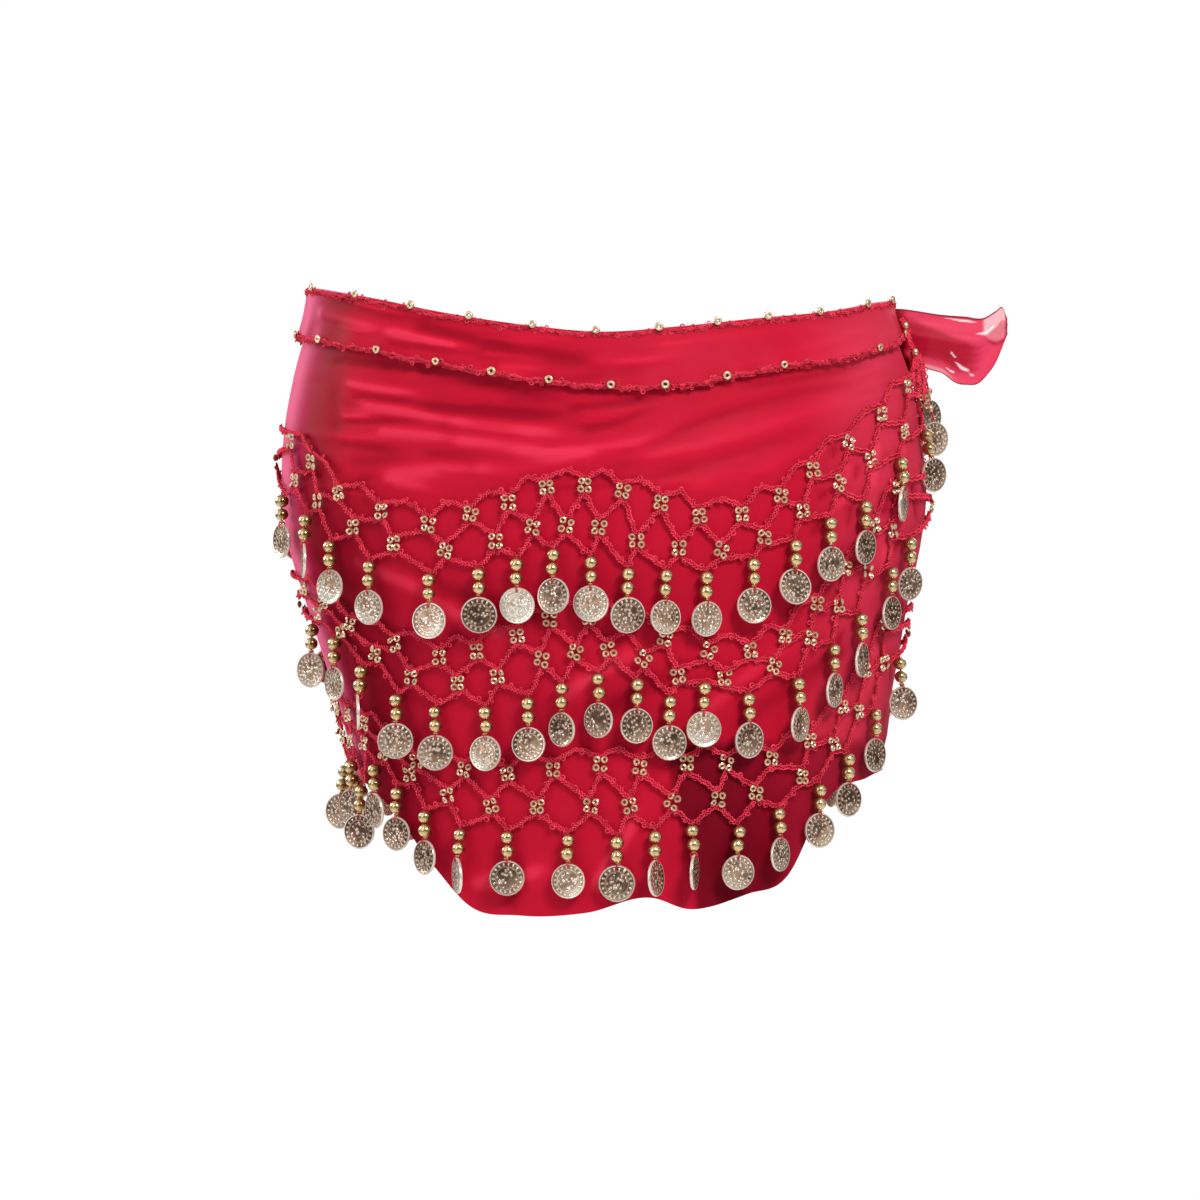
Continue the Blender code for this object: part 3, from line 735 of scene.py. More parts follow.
class Wires:
    """Short calls for wiring shader nodes in one tree; an input may be a socket or a plain value."""

    def __init__(self, tree: NodeTree) -> None:
        """Keep the tree."""
        self.tree = tree

    def node(self, kind: str, **settings: object) -> Node:
        """Add a node.

        Args:
            kind: Its kind, without the words that all shader nodes start with.
            settings: Its plain properties.

        Returns:
            The node.
        """
        made = self.tree.nodes.new(f"ShaderNode{kind}")
        for name, value in settings.items():
            setattr(made, name, value)
        return made

    def feed(self, node: Node, inputs: dict[str | int, object]) -> Node:
        """Link sockets to a node's inputs, or set the inputs' own values.

        Args:
            node: The node.
            inputs: Socket or value for each input, by its name or number.

        Returns:
            The same node.
        """
        for name, value in inputs.items():
            if isinstance(value, NodeSocket):
                self.tree.links.new(value, node.inputs[name])
            else:
                node.inputs[name].default_value = value
        return node

    def maths(self, operation: str, *values: object, clamp: bool = False) -> NodeSocket:
        """Work out one value from up to three, with a Math node."""
        made = self.node("Math", operation=operation, use_clamp=clamp)
        return self.feed(made, dict(enumerate(values))).outputs[0]

    def times(self, first: object, second: object) -> NodeSocket:
        """Multiply two values."""
        return self.maths("MULTIPLY", first, second)

    def scaled(self, value: object, factor: object, shift: object, clamp: bool = False) -> NodeSocket:
        """Multiply a value by a factor and add a shift."""
        return self.maths("MULTIPLY_ADD", value, factor, shift, clamp=clamp)

    def blend(self, share: object, first: object, second: object) -> NodeSocket:
        """Mix two colours, by a share from 0 for the first to 1 for the second."""
        made = self.node("Mix", data_type="RGBA")
        return self.feed(made, {0: share, 6: first, 7: second}).outputs[2]

    def noise(self, vector: object, scale: object, detail: float) -> NodeSocket:
        """Read a soft noise."""
        made = self.node("TexNoise")
        return self.feed(made, {"Vector": vector, "Scale": scale, "Detail": detail}).outputs["Fac"]

    def ramp(self, value: object, low: float, high: float) -> NodeSocket:
        """Ease a value from 0 at low to 1 at high."""
        made = self.node("MapRange", interpolation_type="SMOOTHSTEP")
        return self.feed(made, {"Value": value, "From Min": low, "From Max": high}).outputs["Result"]

    def bump(self, height: object, strength: float, distance: float) -> NodeSocket:
        """Turn a height into a normal."""
        made = self.node("Bump")
        self.feed(made, {"Strength": strength, "Distance": distance, "Height": height})
        return made.outputs["Normal"]

    def mask(self, name: str) -> NodeSocket:
        """Read a mask that the mesh holds for each point."""
        return self.node("Attribute", attribute_name=name).outputs["Fac"]

    def place(self) -> NodeSocket:
        """Read the place on the piece, in metres."""
        return self.node("TexCoord").outputs["Object"]

    def pattern(self) -> NodeSocket:
        """Read the flat pattern coordinates."""
        return self.node("UVMap", uv_map="pattern").outputs["UV"]

    def parts(self, vector: object) -> NodeOutputs:
        """Split a vector into its three parts."""
        return self.feed(self.node("SeparateXYZ"), {0: vector}).outputs


def shader_group(name: str, outputs: Sequence[str],
                 inputs: Sequence[tuple[str, str, object]]) -> tuple[NodeTree, Wires, object, object]:
    """Start a shader node group.

    Args:
        name: Name of the group.
        outputs: Name of each output, all of them values.
        inputs: Name, socket kind and first value of each input.

    Returns:
        The group, its wiring helper, its inputs' node and its outputs' node.
    """
    group = bpy.data.node_groups.new(name, "ShaderNodeTree")
    for label, kind, value in inputs:
        socket = group.interface.new_socket(name=label, in_out="INPUT", socket_type=kind)
        if value is not None:
            socket.default_value = value
    for label in outputs:
        group.interface.new_socket(name=label, in_out="OUTPUT", socket_type="NodeSocketFloat")
    return group, Wires(group), group.nodes.new("NodeGroupInput"), group.nodes.new("NodeGroupOutput")


def weave_group() -> NodeTree:
    """Fine crossed yarns with slubs: height = sin u sin v plus noise, from flat pattern coordinates."""
    group, wires, start, end = shader_group(
        "crossed_yarns",
        ("Height", "Streak"),
        (("Vector", "NodeSocketVector", None), ("Yarns", "NodeSocketFloat", 2000.0)),
    )
    parts = wires.parts(start.outputs["Vector"])
    waves = []
    for axis in (0, 1):
        scaled = wires.times(parts[axis], start.outputs["Yarns"])
        waves.append(wires.maths("SINE", wires.times(scaled, 2 * math.pi)))
    stretched = wires.node("Mapping")
    wires.feed(stretched, {"Vector": start.outputs["Vector"], "Scale": (22.0, 160.0, 1.0)})
    streak = wires.noise(stretched.outputs["Vector"], 1.0, 4.0)
    wires.feed(end, {"Height": wires.scaled(streak, 0.6, wires.times(*waves)), "Streak": streak})
    return group


def tarnish_group() -> NodeTree:
    """Rubbed and dulled metal: a worn mask from two noises and a mild roughness change."""
    group, wires, start, end = shader_group(
        "rubbed_metal",
        ("Dull", "Roughness"),
        (("Base Roughness", "NodeSocketFloat", 0.2), ("Scale", "NodeSocketFloat", 400.0)),
    )
    place = wires.place()
    dull = wires.ramp(wires.noise(place, start.outputs["Scale"], 2.0), 0.42, 0.70)
    rough = wires.scaled(dull, 0.12, start.outputs["Base Roughness"])
    rough = wires.scaled(wires.noise(place, 2600.0, 2.0), 0.06, rough)
    wires.feed(end, {"Dull": dull, "Roughness": rough})
    return group


@dataclass(frozen=True)
class Finish:
    """Shared parts of a finish: its name and the values set on the shader itself."""

    name: str
    sheen: float = 0.0
    sheen_roughness: float = 0.4
    sheen_tint: Colour = (1.0, 1.0, 1.0, 1.0)
    specular: float = 0.5

    def start(self) -> tuple[Material, Wires, Node]:
        """Make the material and set the shader's own values.

        Returns:
            The material, its wiring helper and its shader.
        """
        made = bpy.data.materials.new(self.name)
        made.use_nodes = True
        wires = Wires(made.node_tree)
        shader = wires.feed(made.node_tree.nodes["Principled BSDF"], {
            "Sheen Weight": self.sheen,
            "Sheen Roughness": self.sheen_roughness,
            "Sheen Tint": self.sheen_tint,
            "Specular IOR Level": self.specular,
        })
        return made, wires, shader


@dataclass(frozen=True)
class Chiffon(Finish):
    """Crimson chiffon with faint yarns: painted highlights on ridges, painted shade in troughs, painted sheen
    seen edge-on.
    """

    lit: Colour = (0.74, 0.011, 0.044, 1.0)
    # painted shade in fold troughs
    deep: Colour = (0.36, 0.003, 0.018, 1.0)
    shaded: Colour = (0.20, 0.002, 0.012, 1.0)
    # painted sheen where the plain side is seen along its surface
    grazing_sheen: Colour = (0.47, 0.006, 0.060, 1.0)
    # painted highlight at the edge of that sheen and on the tail's glints
    painted_highlight: Colour = (0.95, 0.160, 0.310, 1.0)
    # painted highlight on ridges and by the knot
    pale: Colour = (0.98, 0.062, 0.135, 1.0)
    roughness: float = 0.46
    cloudiness: float = 0.24
    streakiness: float = 0.16
    ridge_glow: float = 0.42
    clearness: float = 0.0

    def make(self, yarns: NodeTree) -> Material:
        """Build the material.

        Args:
            yarns: Shared group of crossed yarns.

        Returns:
            The finished material.
        """
        made, wires, shader = self.start()
        weave = wires.feed(wires.node("Group", node_tree=yarns), {"Vector": wires.pattern()}).outputs
        fold, bloom = wires.mask("fold"), wires.mask("bloom")
        cloud = wires.scaled(wires.noise(wires.place(), 16.0, 2.0), self.cloudiness, -self.cloudiness / 2)
        # the fold mask paints shade in troughs, with mottling and streaks on top
        share = wires.maths("ADD", wires.ramp(fold, 0.0, 1.0), cloud)
        streaked = wires.scaled(weave["Streak"], self.streakiness, -self.streakiness / 2)
        share = wires.maths("ADD", share, streaked, clamp=True)
        # painted highlight on ridges and, from the glow mask, by the knot
        ridge = wires.times(wires.ramp(fold, 0.62, 0.98), self.ridge_glow)
        paler = wires.maths("MAXIMUM", wires.times(wires.mask("glow"), 0.85), ridge)
        cloth = wires.blend(share, self.deep, wires.blend(paler, self.lit, self.pale))
        cloth = wires.blend(wires.mask("shade"), cloth, self.shaded)
        # painted sheen where the plain side is seen along its surface
        turned = wires.node("LayerWeight").outputs["Facing"]
        cloth = wires.blend(wires.times(wires.ramp(turned, 0.43, 0.60), bloom), cloth, self.grazing_sheen)
        cloth = wires.blend(wires.times(wires.ramp(turned, 0.52, 0.76), bloom), cloth, self.painted_highlight)
        wires.feed(shader, {
            "Base Color": wires.blend(wires.mask("glint"), cloth, self.painted_highlight),
            "Roughness": wires.scaled(weave["Streak"], 0.14, self.roughness - 0.07),
            "Normal": wires.bump(weave["Height"], 0.12, 0.00012),
        })
        if self.clearness > 0:
            wires.feed(shader, {"Alpha": wires.scaled(wires.mask("thin"), -self.clearness, 0.97)})
        return made


@dataclass(frozen=True)
class CrochetThread(Finish):
    """Mercerised crimson crochet thread with twisted plies, with a painted highlight on top and painted shade
    where it lies deep.
    """

    light: Colour = (1.0, 0.058, 0.120, 1.0)
    dark: Colour = (0.34, 0.002, 0.010, 1.0)

    def make(self) -> Material:
        """Build the material."""
        made, wires, shader = self.start()
        place = wires.place()
        plies = wires.node("TexWave", wave_type="BANDS", bands_direction="DIAGONAL")
        plies = wires.feed(plies, {"Vector": place, "Scale": 420.0, "Distortion": 3.0}).outputs["Fac"]
        cloud = wires.noise(place, 330.0, 1.0)
        # painted shade: darker where the depth mask is low, under and between the plies
        share = wires.times(wires.ramp(wires.mask("depth"), 0.35, 0.90), 0.85)
        share = wires.maths("ADD", share, wires.scaled(plies, 0.06, -0.03))
        share = wires.maths("ADD", share, wires.scaled(cloud, 1.50, -0.72), clamp=True)
        wires.feed(shader, {
            "Base Color": wires.blend(share, self.dark, self.light),
            "Roughness": wires.scaled(cloud, 0.2, 0.42),
            "Normal": wires.bump(plies, 0.25, 0.00012),
        })
        return made


@dataclass(frozen=True)
class RubbedMetal(Finish):
    """Shared parts of the metal finishes: how rough, how metallic and how coarsely worn they are."""

    roughness: float = 0.14
    metallic: float = 0.88
    wear_scale: float = 700.0

    def worn(self, wires: Wires, tarnish: NodeTree) -> NodeOutputs:
        """Place the shared group of rubbed metal and give its outputs."""
        group = wires.node("Group", node_tree=tarnish)
        return wires.feed(group, {"Base Roughness": self.roughness, "Scale": self.wear_scale}).outputs


@dataclass(frozen=True)
class GoldBead(RubbedMetal):
    """Polished pale gold plating, a little rubbed, with brown painted shade on its flanks and in its hole."""

    bright: Colour = (1.0, 0.79, 0.44, 1.0)
    rubbed: Colour = (0.84, 0.56, 0.25, 1.0)
    shade_brown: Colour = (0.24, 0.115, 0.032, 1.0)

    def make(self, tarnish: NodeTree) -> Material:
        """Build the material.

        Args:
            tarnish: The shared group of rubbed metal.

        Returns:
            The finished material.
        """
        made, wires, shader = self.start()
        worn = self.worn(wires, tarnish)
        gold = wires.blend(worn["Dull"], self.bright, self.rubbed)
        wires.feed(shader, {
            # brown painted shade and dark reflection where the hollow mask is high
            "Base Color": wires.blend(wires.mask("hollow"), gold, self.shade_brown),
            "Roughness": worn["Roughness"],
            "Metallic": self.metallic,
        })
        return made


@dataclass(frozen=True)
class PressedCoin(RubbedMetal):
    """Pressed coin of antique metal: a ring of bosses, a grained field and a bright rim, dark in recesses."""

    bright: Colour = (1.0, 0.90, 0.78, 1.0)
    rubbed: Colour = (0.60, 0.39, 0.26, 1.0)
    recess: Colour = (0.085, 0.046, 0.032, 1.0)
    boss_count: float = 18.0
    boss_radius: float = 0.775
    boss_half: float = 0.115
    line_radius: float = 0.640
    line_half: float = 0.045
    grain: float = 5.0
    relief_depth: float = 0.00080

    @staticmethod
    def ring(wires: Wires, radius: NodeSocket, centre: float, half: float) -> NodeSocket:
        """Mask of a thin ring: 1 at its centre radius, 0 past its half width."""
        return wires.ramp(wires.maths("ABSOLUTE", wires.maths("SUBTRACT", radius, centre)), half, half * 0.45)

    def relief(self, wires: Wires, x: object, y: object, radius: object, tone: object) -> NodeSocket:
        """Pressed pattern inside the rim: a ring of bosses cos(bosses a) round a field of uneven grains.

        Args:
            wires: Wiring helper of the material.
            x: Place across the face, from -1 to 1.
            y: Place up the face, from -1 to 1.
            radius: Distance from the middle, from 0 to 1.
            tone: The coin's own tone, which also moves its grains.

        Returns:
            Height from 0 in the field to 1 on the raised pattern.
        """
        bosses = wires.maths("COSINE", wires.times(wires.maths("ARCTAN2", y, x), self.boss_count))
        boss_ring = self.ring(wires, radius, self.boss_radius, self.boss_half)
        bosses = wires.times(wires.ramp(bosses, -0.25, 0.55), boss_ring)
        place = wires.feed(wires.node("CombineXYZ"), {0: wires.scaled(tone, 31.0, x), 1: y})
        cells = wires.node("TexVoronoi", feature="SMOOTH_F1")
        wires.feed(cells, {"Vector": place.outputs["Vector"], "Scale": self.grain, "Smoothness": 0.25})
        field_share = wires.ramp(radius, 0.64, 0.57)
        grains = wires.times(wires.ramp(cells.outputs["Distance"], 0.60, 0.22), field_share)
        line = wires.times(self.ring(wires, radius, self.line_radius, self.line_half), 0.45)
        return wires.maths("MAXIMUM", wires.maths("MAXIMUM", bosses, grains), line)

    def make(self, tarnish: NodeTree) -> Material:
        """Build the material: each coin as bright as its own tone, with a painted highlight towards its lower
        side.

        Args:
            tarnish: The shared group of rubbed metal.

        Returns:
            The finished material.
        """
        made, wires, shader = self.start()
        parts = wires.parts(wires.pattern())
        x, y = (wires.scaled(parts[axis], 2.0, -1.0) for axis in (0, 1))
        radius = wires.maths("SQRT", wires.maths("ADD", wires.times(x, x), wires.times(y, y)))
        tone = wires.mask("piece_shade")
        height = self.relief(wires, x, y, radius, tone)
        worn = self.worn(wires, tarnish)
        # painted highlight towards the coin's lower side, swayed sideways by its tone
        sway = wires.maths("SINE", wires.times(tone, 37.0))
        lowness = wires.scaled(x, wires.times(sway, 0.6), wires.times(y, -0.8))
        rubbed = wires.times(wires.ramp(lowness, -0.1, 0.8), wires.scaled(tone, 0.30, 0.16))
        # brightness by tone: partly tarnish, partly painted reflection of the lights
        ground = wires.scaled(wires.maths("POWER", tone, 1.6), 0.50, 0.07)
        shown = wires.scaled(height, wires.scaled(tone, 0.25, 0.60), ground)
        shown = wires.maths("SUBTRACT", wires.maths("ADD", shown, rubbed), wires.times(worn["Dull"], 0.20))
        rim = wires.times(wires.ramp(radius, 0.89, 0.93), 0.85)
        shown = wires.maths("MAXIMUM", shown, rim)
        metal = wires.blend(wires.ramp(shown, 0.0, 0.50), self.recess, self.rubbed)
        wires.feed(shader, {
            "Base Color": wires.blend(wires.ramp(shown, 0.45, 1.0), metal, self.bright),
            "Roughness": worn["Roughness"],
            "Metallic": self.metallic,
            "Normal": wires.bump(height, 1.0, self.relief_depth),
        })
        return made


@dataclass(frozen=True)
class Finishes:
    """Every finish of the scarf, built once."""

    chiffon: Material
    sheer: Material
    thread: Material
    bead: Material
    seed: Material
    coin: Material


def build_finishes() -> Finishes:
    """Build the shared groups and all materials.

    Returns:
        The finishes.
    """
    yarns, tarnish = weave_group(), tarnish_group()
    pink = (1.0, 0.55, 0.66, 1.0)
    sheer = Chiffon("sheer_crimson_chiffon", sheen=0.05, sheen_tint=pink, specular=0.12, clearness=0.66,
                    lit=(0.82, 0.040, 0.120, 1.0), deep=(0.52, 0.003, 0.030, 1.0),
                    grazing_sheen=(1.0, 0.58, 0.68, 1.0), painted_highlight=(1.0, 0.80, 0.85, 1.0))
    seed = GoldBead("pale_gold_seed_beads", bright=(1.0, 0.78, 0.52, 1.0), rubbed=(0.90, 0.58, 0.36, 1.0),
                    roughness=0.26, metallic=0.80)
    coin = PressedCoin("pressed_antique_coins", roughness=0.15, metallic=0.50, wear_scale=150.0)
    return Finishes(
        chiffon=Chiffon("crimson_chiffon", sheen=0.014, sheen_tint=pink, specular=0.045).make(yarns),
        sheer=sheer.make(yarns),
        thread=CrochetThread("crimson_crochet_thread", sheen=0.03, sheen_tint=pink, specular=0.16).make(),
        bead=GoldBead("polished_gold_beads", roughness=0.13).make(tarnish),
        seed=seed.make(tarnish),
        coin=coin.make(tarnish),
    )


# ---- chiffon pieces


@dataclass
class SubAssembly:
    """What every sub-assembly is built with: its finishes and the scarf's shape."""

    finishes: Finishes
    form: HipForm


@dataclass
class ChiffonWrap(SubAssembly):
    """The main cloth, a thin wall all round the body from the waist to the curved hem."""

    lift: float = 0.0009
    thickness: float = 0.00045
    columns: int = 290
    rows: int = 136
    row_growth: float = 1.3
    top_drop: float = 0.0015

    def build(self) -> Object:
        """Build the wall with its creases, its rows closer together towards the waist.

        Returns:
            The wrap.
        """
        angles = np.arange(self.columns) * TURN / self.columns
        down = np.linspace(0.0, 1.0, self.rows)[:, None] ** self.row_growth
        top = self.form.edge("top", angles) - self.top_drop
        heights = top[None, :] + (self.form.hem(angles) - top)[None, :] * down
        spread = np.broadcast_to(angles[None, :], heights.shape)
        relief = self.form.relief(spread, heights)
        outer = self.form.points(spread, heights, self.lift + relief)
        inner = self.form.points(spread, heights, self.lift + relief - self.thickness)
        wall = self.form.finish_wall(double_wall(outer, inner, around=True), spread, heights, relief)
        nodes = [f"cloth_{part}" for part in ("front_knot", "front_plain", "back_plain", "back_knot")]
        return make_piece("chiffon_wrap", wall, self.finishes.chiffon, nodes)


@dataclass
class TurnedBand(SubAssembly):
    """The top of the cloth turned down outside: a rounded fold at the waist and a free lower edge."""

    lift: float = 0.0031
    inner_lift: float = -0.0006
    stand_off: float = 0.0014
    thickness: float = 0.0005
    columns: int = 360
    rows: int = 22
    fold_rows: int = 6
    inner_reach: float = 0.007
    gather_depth: float = 0.0004
    gather_count: int = 37

    def build(self) -> Object:
        """Build the band from inside the waist, over the fold and down to its free edge.

        Returns:
            The band.
        """
        angles = np.arange(self.columns) * TURN / self.columns
        top, low = self.form.edge("top", angles), self.form.edge("band", angles)
        fold_radius = (self.lift - self.inner_lift) / 2
        up = np.linspace(0.0, 1.0, 3)[:-1, None]
        turn = np.linspace(0.0, np.pi, self.fold_rows)[:, None]
        down = np.linspace(0.0, 1.0, self.rows)[1:, None]
        crown = top - fold_radius
        heights = np.vstack([
            crown - self.inner_reach * (1 - up),
            crown + fold_radius * np.sin(turn),
            crown + (low - crown) * down,
        ])
        lifts = np.vstack([
            np.broadcast_to(self.inner_lift, up.shape),
            self.inner_lift + fold_radius * (1 - np.cos(turn)),
            self.lift + self.stand_off * down ** 1.6,
        ])
        spread = np.broadcast_to(angles[None, :], heights.shape)
        relief = self.form.relief(spread, heights) * soft_step(lifts / self.lift)
        gather = self.gather_depth * np.sin(np.radians(spread) * self.gather_count)
        gather = gather * soft_step((lifts - self.lift) / self.stand_off)
        outer = self.form.points(spread, heights, lifts + relief + gather)
        beside = np.roll(outer, -1, axis=1) - np.roll(outer, 1, axis=1)
        normals = unit(np.cross(beside, np.gradient(outer, axis=0)))
        facing = self.form.points(spread, heights, lifts + 1.0) - outer
        if np.einsum("ij,ij->", normals[-1], facing[-1]) < 0:
            normals = -normals
        wall = double_wall(outer, outer - normals * self.thickness, around=True)
        wall = self.form.finish_wall(wall, spread, heights, relief)
        nodes = ("waistband_front", "waistband_back")
        return make_piece("turned_waistband", wall, self.finishes.chiffon, nodes)


# ---- crochet


@dataclass
class Route:
    """A path over the scarf with a frame at each point, evenly spaced along its length."""

    centres: Array
    side: Array
    out: Array
    length: float
    closed: bool

    @classmethod
    def over(cls, form: HipForm, angles: Array, heights: Array, lifts: Array,
             spacing: float, closed: bool) -> "Route":
        """Lay a path over the cloth and space its points evenly.

        Args:
            form: Shape of the scarf.
            angles: Angles along the path, unwrapped, finely sampled.
            heights: Heights along it.
            lifts: Lifts along it.
            spacing: Wanted distance between points.
            closed: True where the last place is the first again, one turn on.

        Returns:
            The route.
        """
        rough = form.points(angles, heights, lifts)
        walked = walked_along(rough)
        count = max(8, int(round(walked[-1] / spacing)))
        marks = np.linspace(0.0, walked[-1], count, endpoint=not closed)
        angles, heights, lifts = (np.interp(marks, walked, values) for values in (angles, heights, lifts))
        centres = form.points(angles, heights, lifts)
        out = form.axes(angles, heights)[:, 2]
        if closed:
            along = unit(np.roll(centres, -1, axis=0) - np.roll(centres, 1, axis=0))
        else:
            along = unit(np.gradient(centres, axis=0))
        side = unit(np.cross(along, out))
        return cls(centres, side, np.cross(side, along), float(walked[-1]), closed)


@dataclass(frozen=True)
class ChainStitch:
    """Crochet chain worked as three crossing plies: side swing sin p, out swing sin 2p, a third apart.

    Its depth mask paints shade: 1 on top of the upper ply, 0 under the lower one. Slack, swing and ply width
    vary slowly along it, as in work done by hand.
    """

    ply_radius: float = 0.00043
    side_swing: float = 0.00106
    out_swing: float = 0.00055
    stitch: float = 0.0052
    spacing: float = 0.00078
    ply_sides: int = 4
    picot_radius: float = 0.00092
    picot_thick: float = 0.00038

    def work(self, route: Route) -> Form:
        """Work a chain along a route.

        Args:
            route: The path, closed or open.

        Returns:
            Three plies as one form.
        """
        count = len(route.centres)
        stitches = max(1, round(route.length / self.stitch))
        steps = np.arange(count) / (count if route.closed else count - 1)
        turns = 2 * np.pi * steps * stitches
        slack = 0.5 * np.sin(turns * 0.13) + 0.4 * np.sin(turns * 0.31)
        corner = np.sin(even_turns(self.ply_sides, 0.5))
        plies = []
        for ply in range(3):
            phase = turns + 2 * np.pi * ply / 3 + slack
            swing = self.side_swing * (1 + 0.34 * np.sin(turns * 0.23 + 2.1 * ply))
            level = np.sin(2 * phase)
            shift = (swing * np.sin(phase))[:, None] * route.side
            shift = shift + self.out_swing * level[:, None] * route.out
            radius = self.ply_radius * (1 + 0.16 * np.sin(turns * 0.41 + ply))
            made = tube(route.centres + shift, route.side, route.out, radius, self.ply_sides, route.closed)
            # depth: painted shade, low under each ply and on its flanks, high on its top
            made.masks["depth"] = np.clip(0.5 + 0.18 * level[:, None] + 0.44 * corner, 0.0, 1.0).ravel()
            plies.append(made.faced_out())
        return join(plies)

    def picots(self, route: Route, every: float, rng: np.random.Generator) -> Form:
        """Small loops that stand off the chain to either side at uneven distances.

        Args:
            route: The chain's path.
            every: Mean distance between loops.
            rng: Source of the uneven spacing.

        Returns:
            All loops as one form.
        """
        count = max(2, int(route.length / every))
        marks = (np.arange(count) + rng.uniform(-0.4, 0.4, count)) / count
        index = np.mod((marks * len(route.centres)).astype(int), len(route.centres))
        flip = np.where(rng.random(count) < 0.5, -1.0, 1.0)[:, None]
        out = unit(route.out[index] + rng.uniform(-0.6, 0.6, (count, 1)) * route.side[index])
        side = unit(route.side[index] - np.sum(route.side[index] * out, axis=1, keepdims=True) * out)
        stand = rng.uniform(0.1, 0.7, (count, 1)) * self.picot_radius
        places = route.centres[index] + flip * side * (self.side_swing + stand)
        axes = np.stack([side, np.cross(out, side), out], axis=1)
        loop = Ring(self.picot_radius, self.picot_thick, 7, 3).shape()
        # depth: painted shade, lighter on the loop's top
        loop.masks["depth"] = 0.55 + 0.35 * loop.points[:, 2] / self.picot_thick
        return copies(loop, places, axes, rng.uniform(0.6, 1.35, count))


def thread_between(centres: Array, side: Array, out: Array, radius: float) -> Form:
    """A plain thread along a short open path, evenly bright.

    Args:
        centres: Points of the path.
        side: First axis of its section at each point.
        out: Second axis of its section at each point.
        radius: Half of its width.

    Returns:
        The thread.
    """
    made = tube(centres, side, out, radius, 4, closed=False).faced_out()
    made.masks["depth"] = np.full(len(made.points), THREAD_DEPTH)
    return made


@dataclass(frozen=True)
class Ring:
    """Ring that lies flat: ((R + r cos b) cos a, (R + r cos b) sin a, r sin b), r half its thickness."""

    radius: float
    thick: float
    segments: int = 9
    sides: int = 4

    def shape(self) -> Form:
        """Build the ring, with a hollow mask of painted shade in its hole and underneath.

        Returns:
            The ring.
        """
        turn, section = np.meshgrid(even_turns(self.segments), even_turns(self.sides), indexing="ij")
        reach = self.radius + self.thick * np.cos(section)
        points = np.stack([reach * np.cos(turn), reach * np.sin(turn), self.thick * np.sin(section)], axis=-1)
        quads = grid_quads(self.segments, self.sides, round_rows=True, round_columns=True)
        # painted shade underneath and on the side towards the hole
        hollow = 0.42 * (1 - np.sin(section)) + 0.45 * np.maximum(0.0, -np.cos(section))
        masks = {"hollow": np.clip(hollow, 0.0, 1.0).ravel()}
        return Form(points.reshape(-1, 3), quads, masks=masks).faced_out()


def ball_form(radius: float, segments: int, rows: int, squash: float = 1.0) -> Form:
    """Round bead with its hole upright: radius (sin a cos b, squash cos a, sin a sin b).

    Its hollow mask paints shade on the flanks, away from the third axis, and a dark reflection in a belt
    below its middle, and fades at its foot, where the bead is lighter.

    Args:
        radius: Half of its width.
        segments: Steps of b, round the bead.
        rows: Steps of a, from its top to its foot.
        squash: Its height as a share of its width.

    Returns:
        The bead.
    """
    fall, turn = np.meshgrid(np.pi * np.arange(1, rows) / rows, even_turns(segments), indexing="ij")
    ring = np.sin(fall)
    body = np.stack([ring * np.cos(turn), squash * np.cos(fall), ring * np.sin(turn)], axis=-1)
    points = np.vstack([body.reshape(-1, 3), [(0.0, squash, 0.0), (0.0, -squash, 0.0)]])
    across, up, out = points.T
    # painted shade on the flanks, a painted dark reflection in the belt, lighter at the foot
    flank = 0.80 * soft_step((0.84 - out) / 0.60)
    belly = 0.45 * np.exp(-(((up + 0.15) / 0.26) ** 2)) * soft_step((across + 0.5) / 0.7)
    hollow = (flank + belly) * (1 - 0.6 * soft_step((-0.50 - up) / 0.3))
    quads = grid_quads(rows - 1, segments, round_columns=True)
    masks = {"hollow": np.clip(hollow, 0.0, 1.0)}
    return Form(points * radius, quads, pole_fans(rows - 1, segments), masks=masks).faced_out()


@dataclass(frozen=True)
class EdgingRow:
    """One chain of an edging: its shift up and out from the edging's line, and its brightness, less for
    painted shade.
    """

    shift: float
    away: float
    bright: float


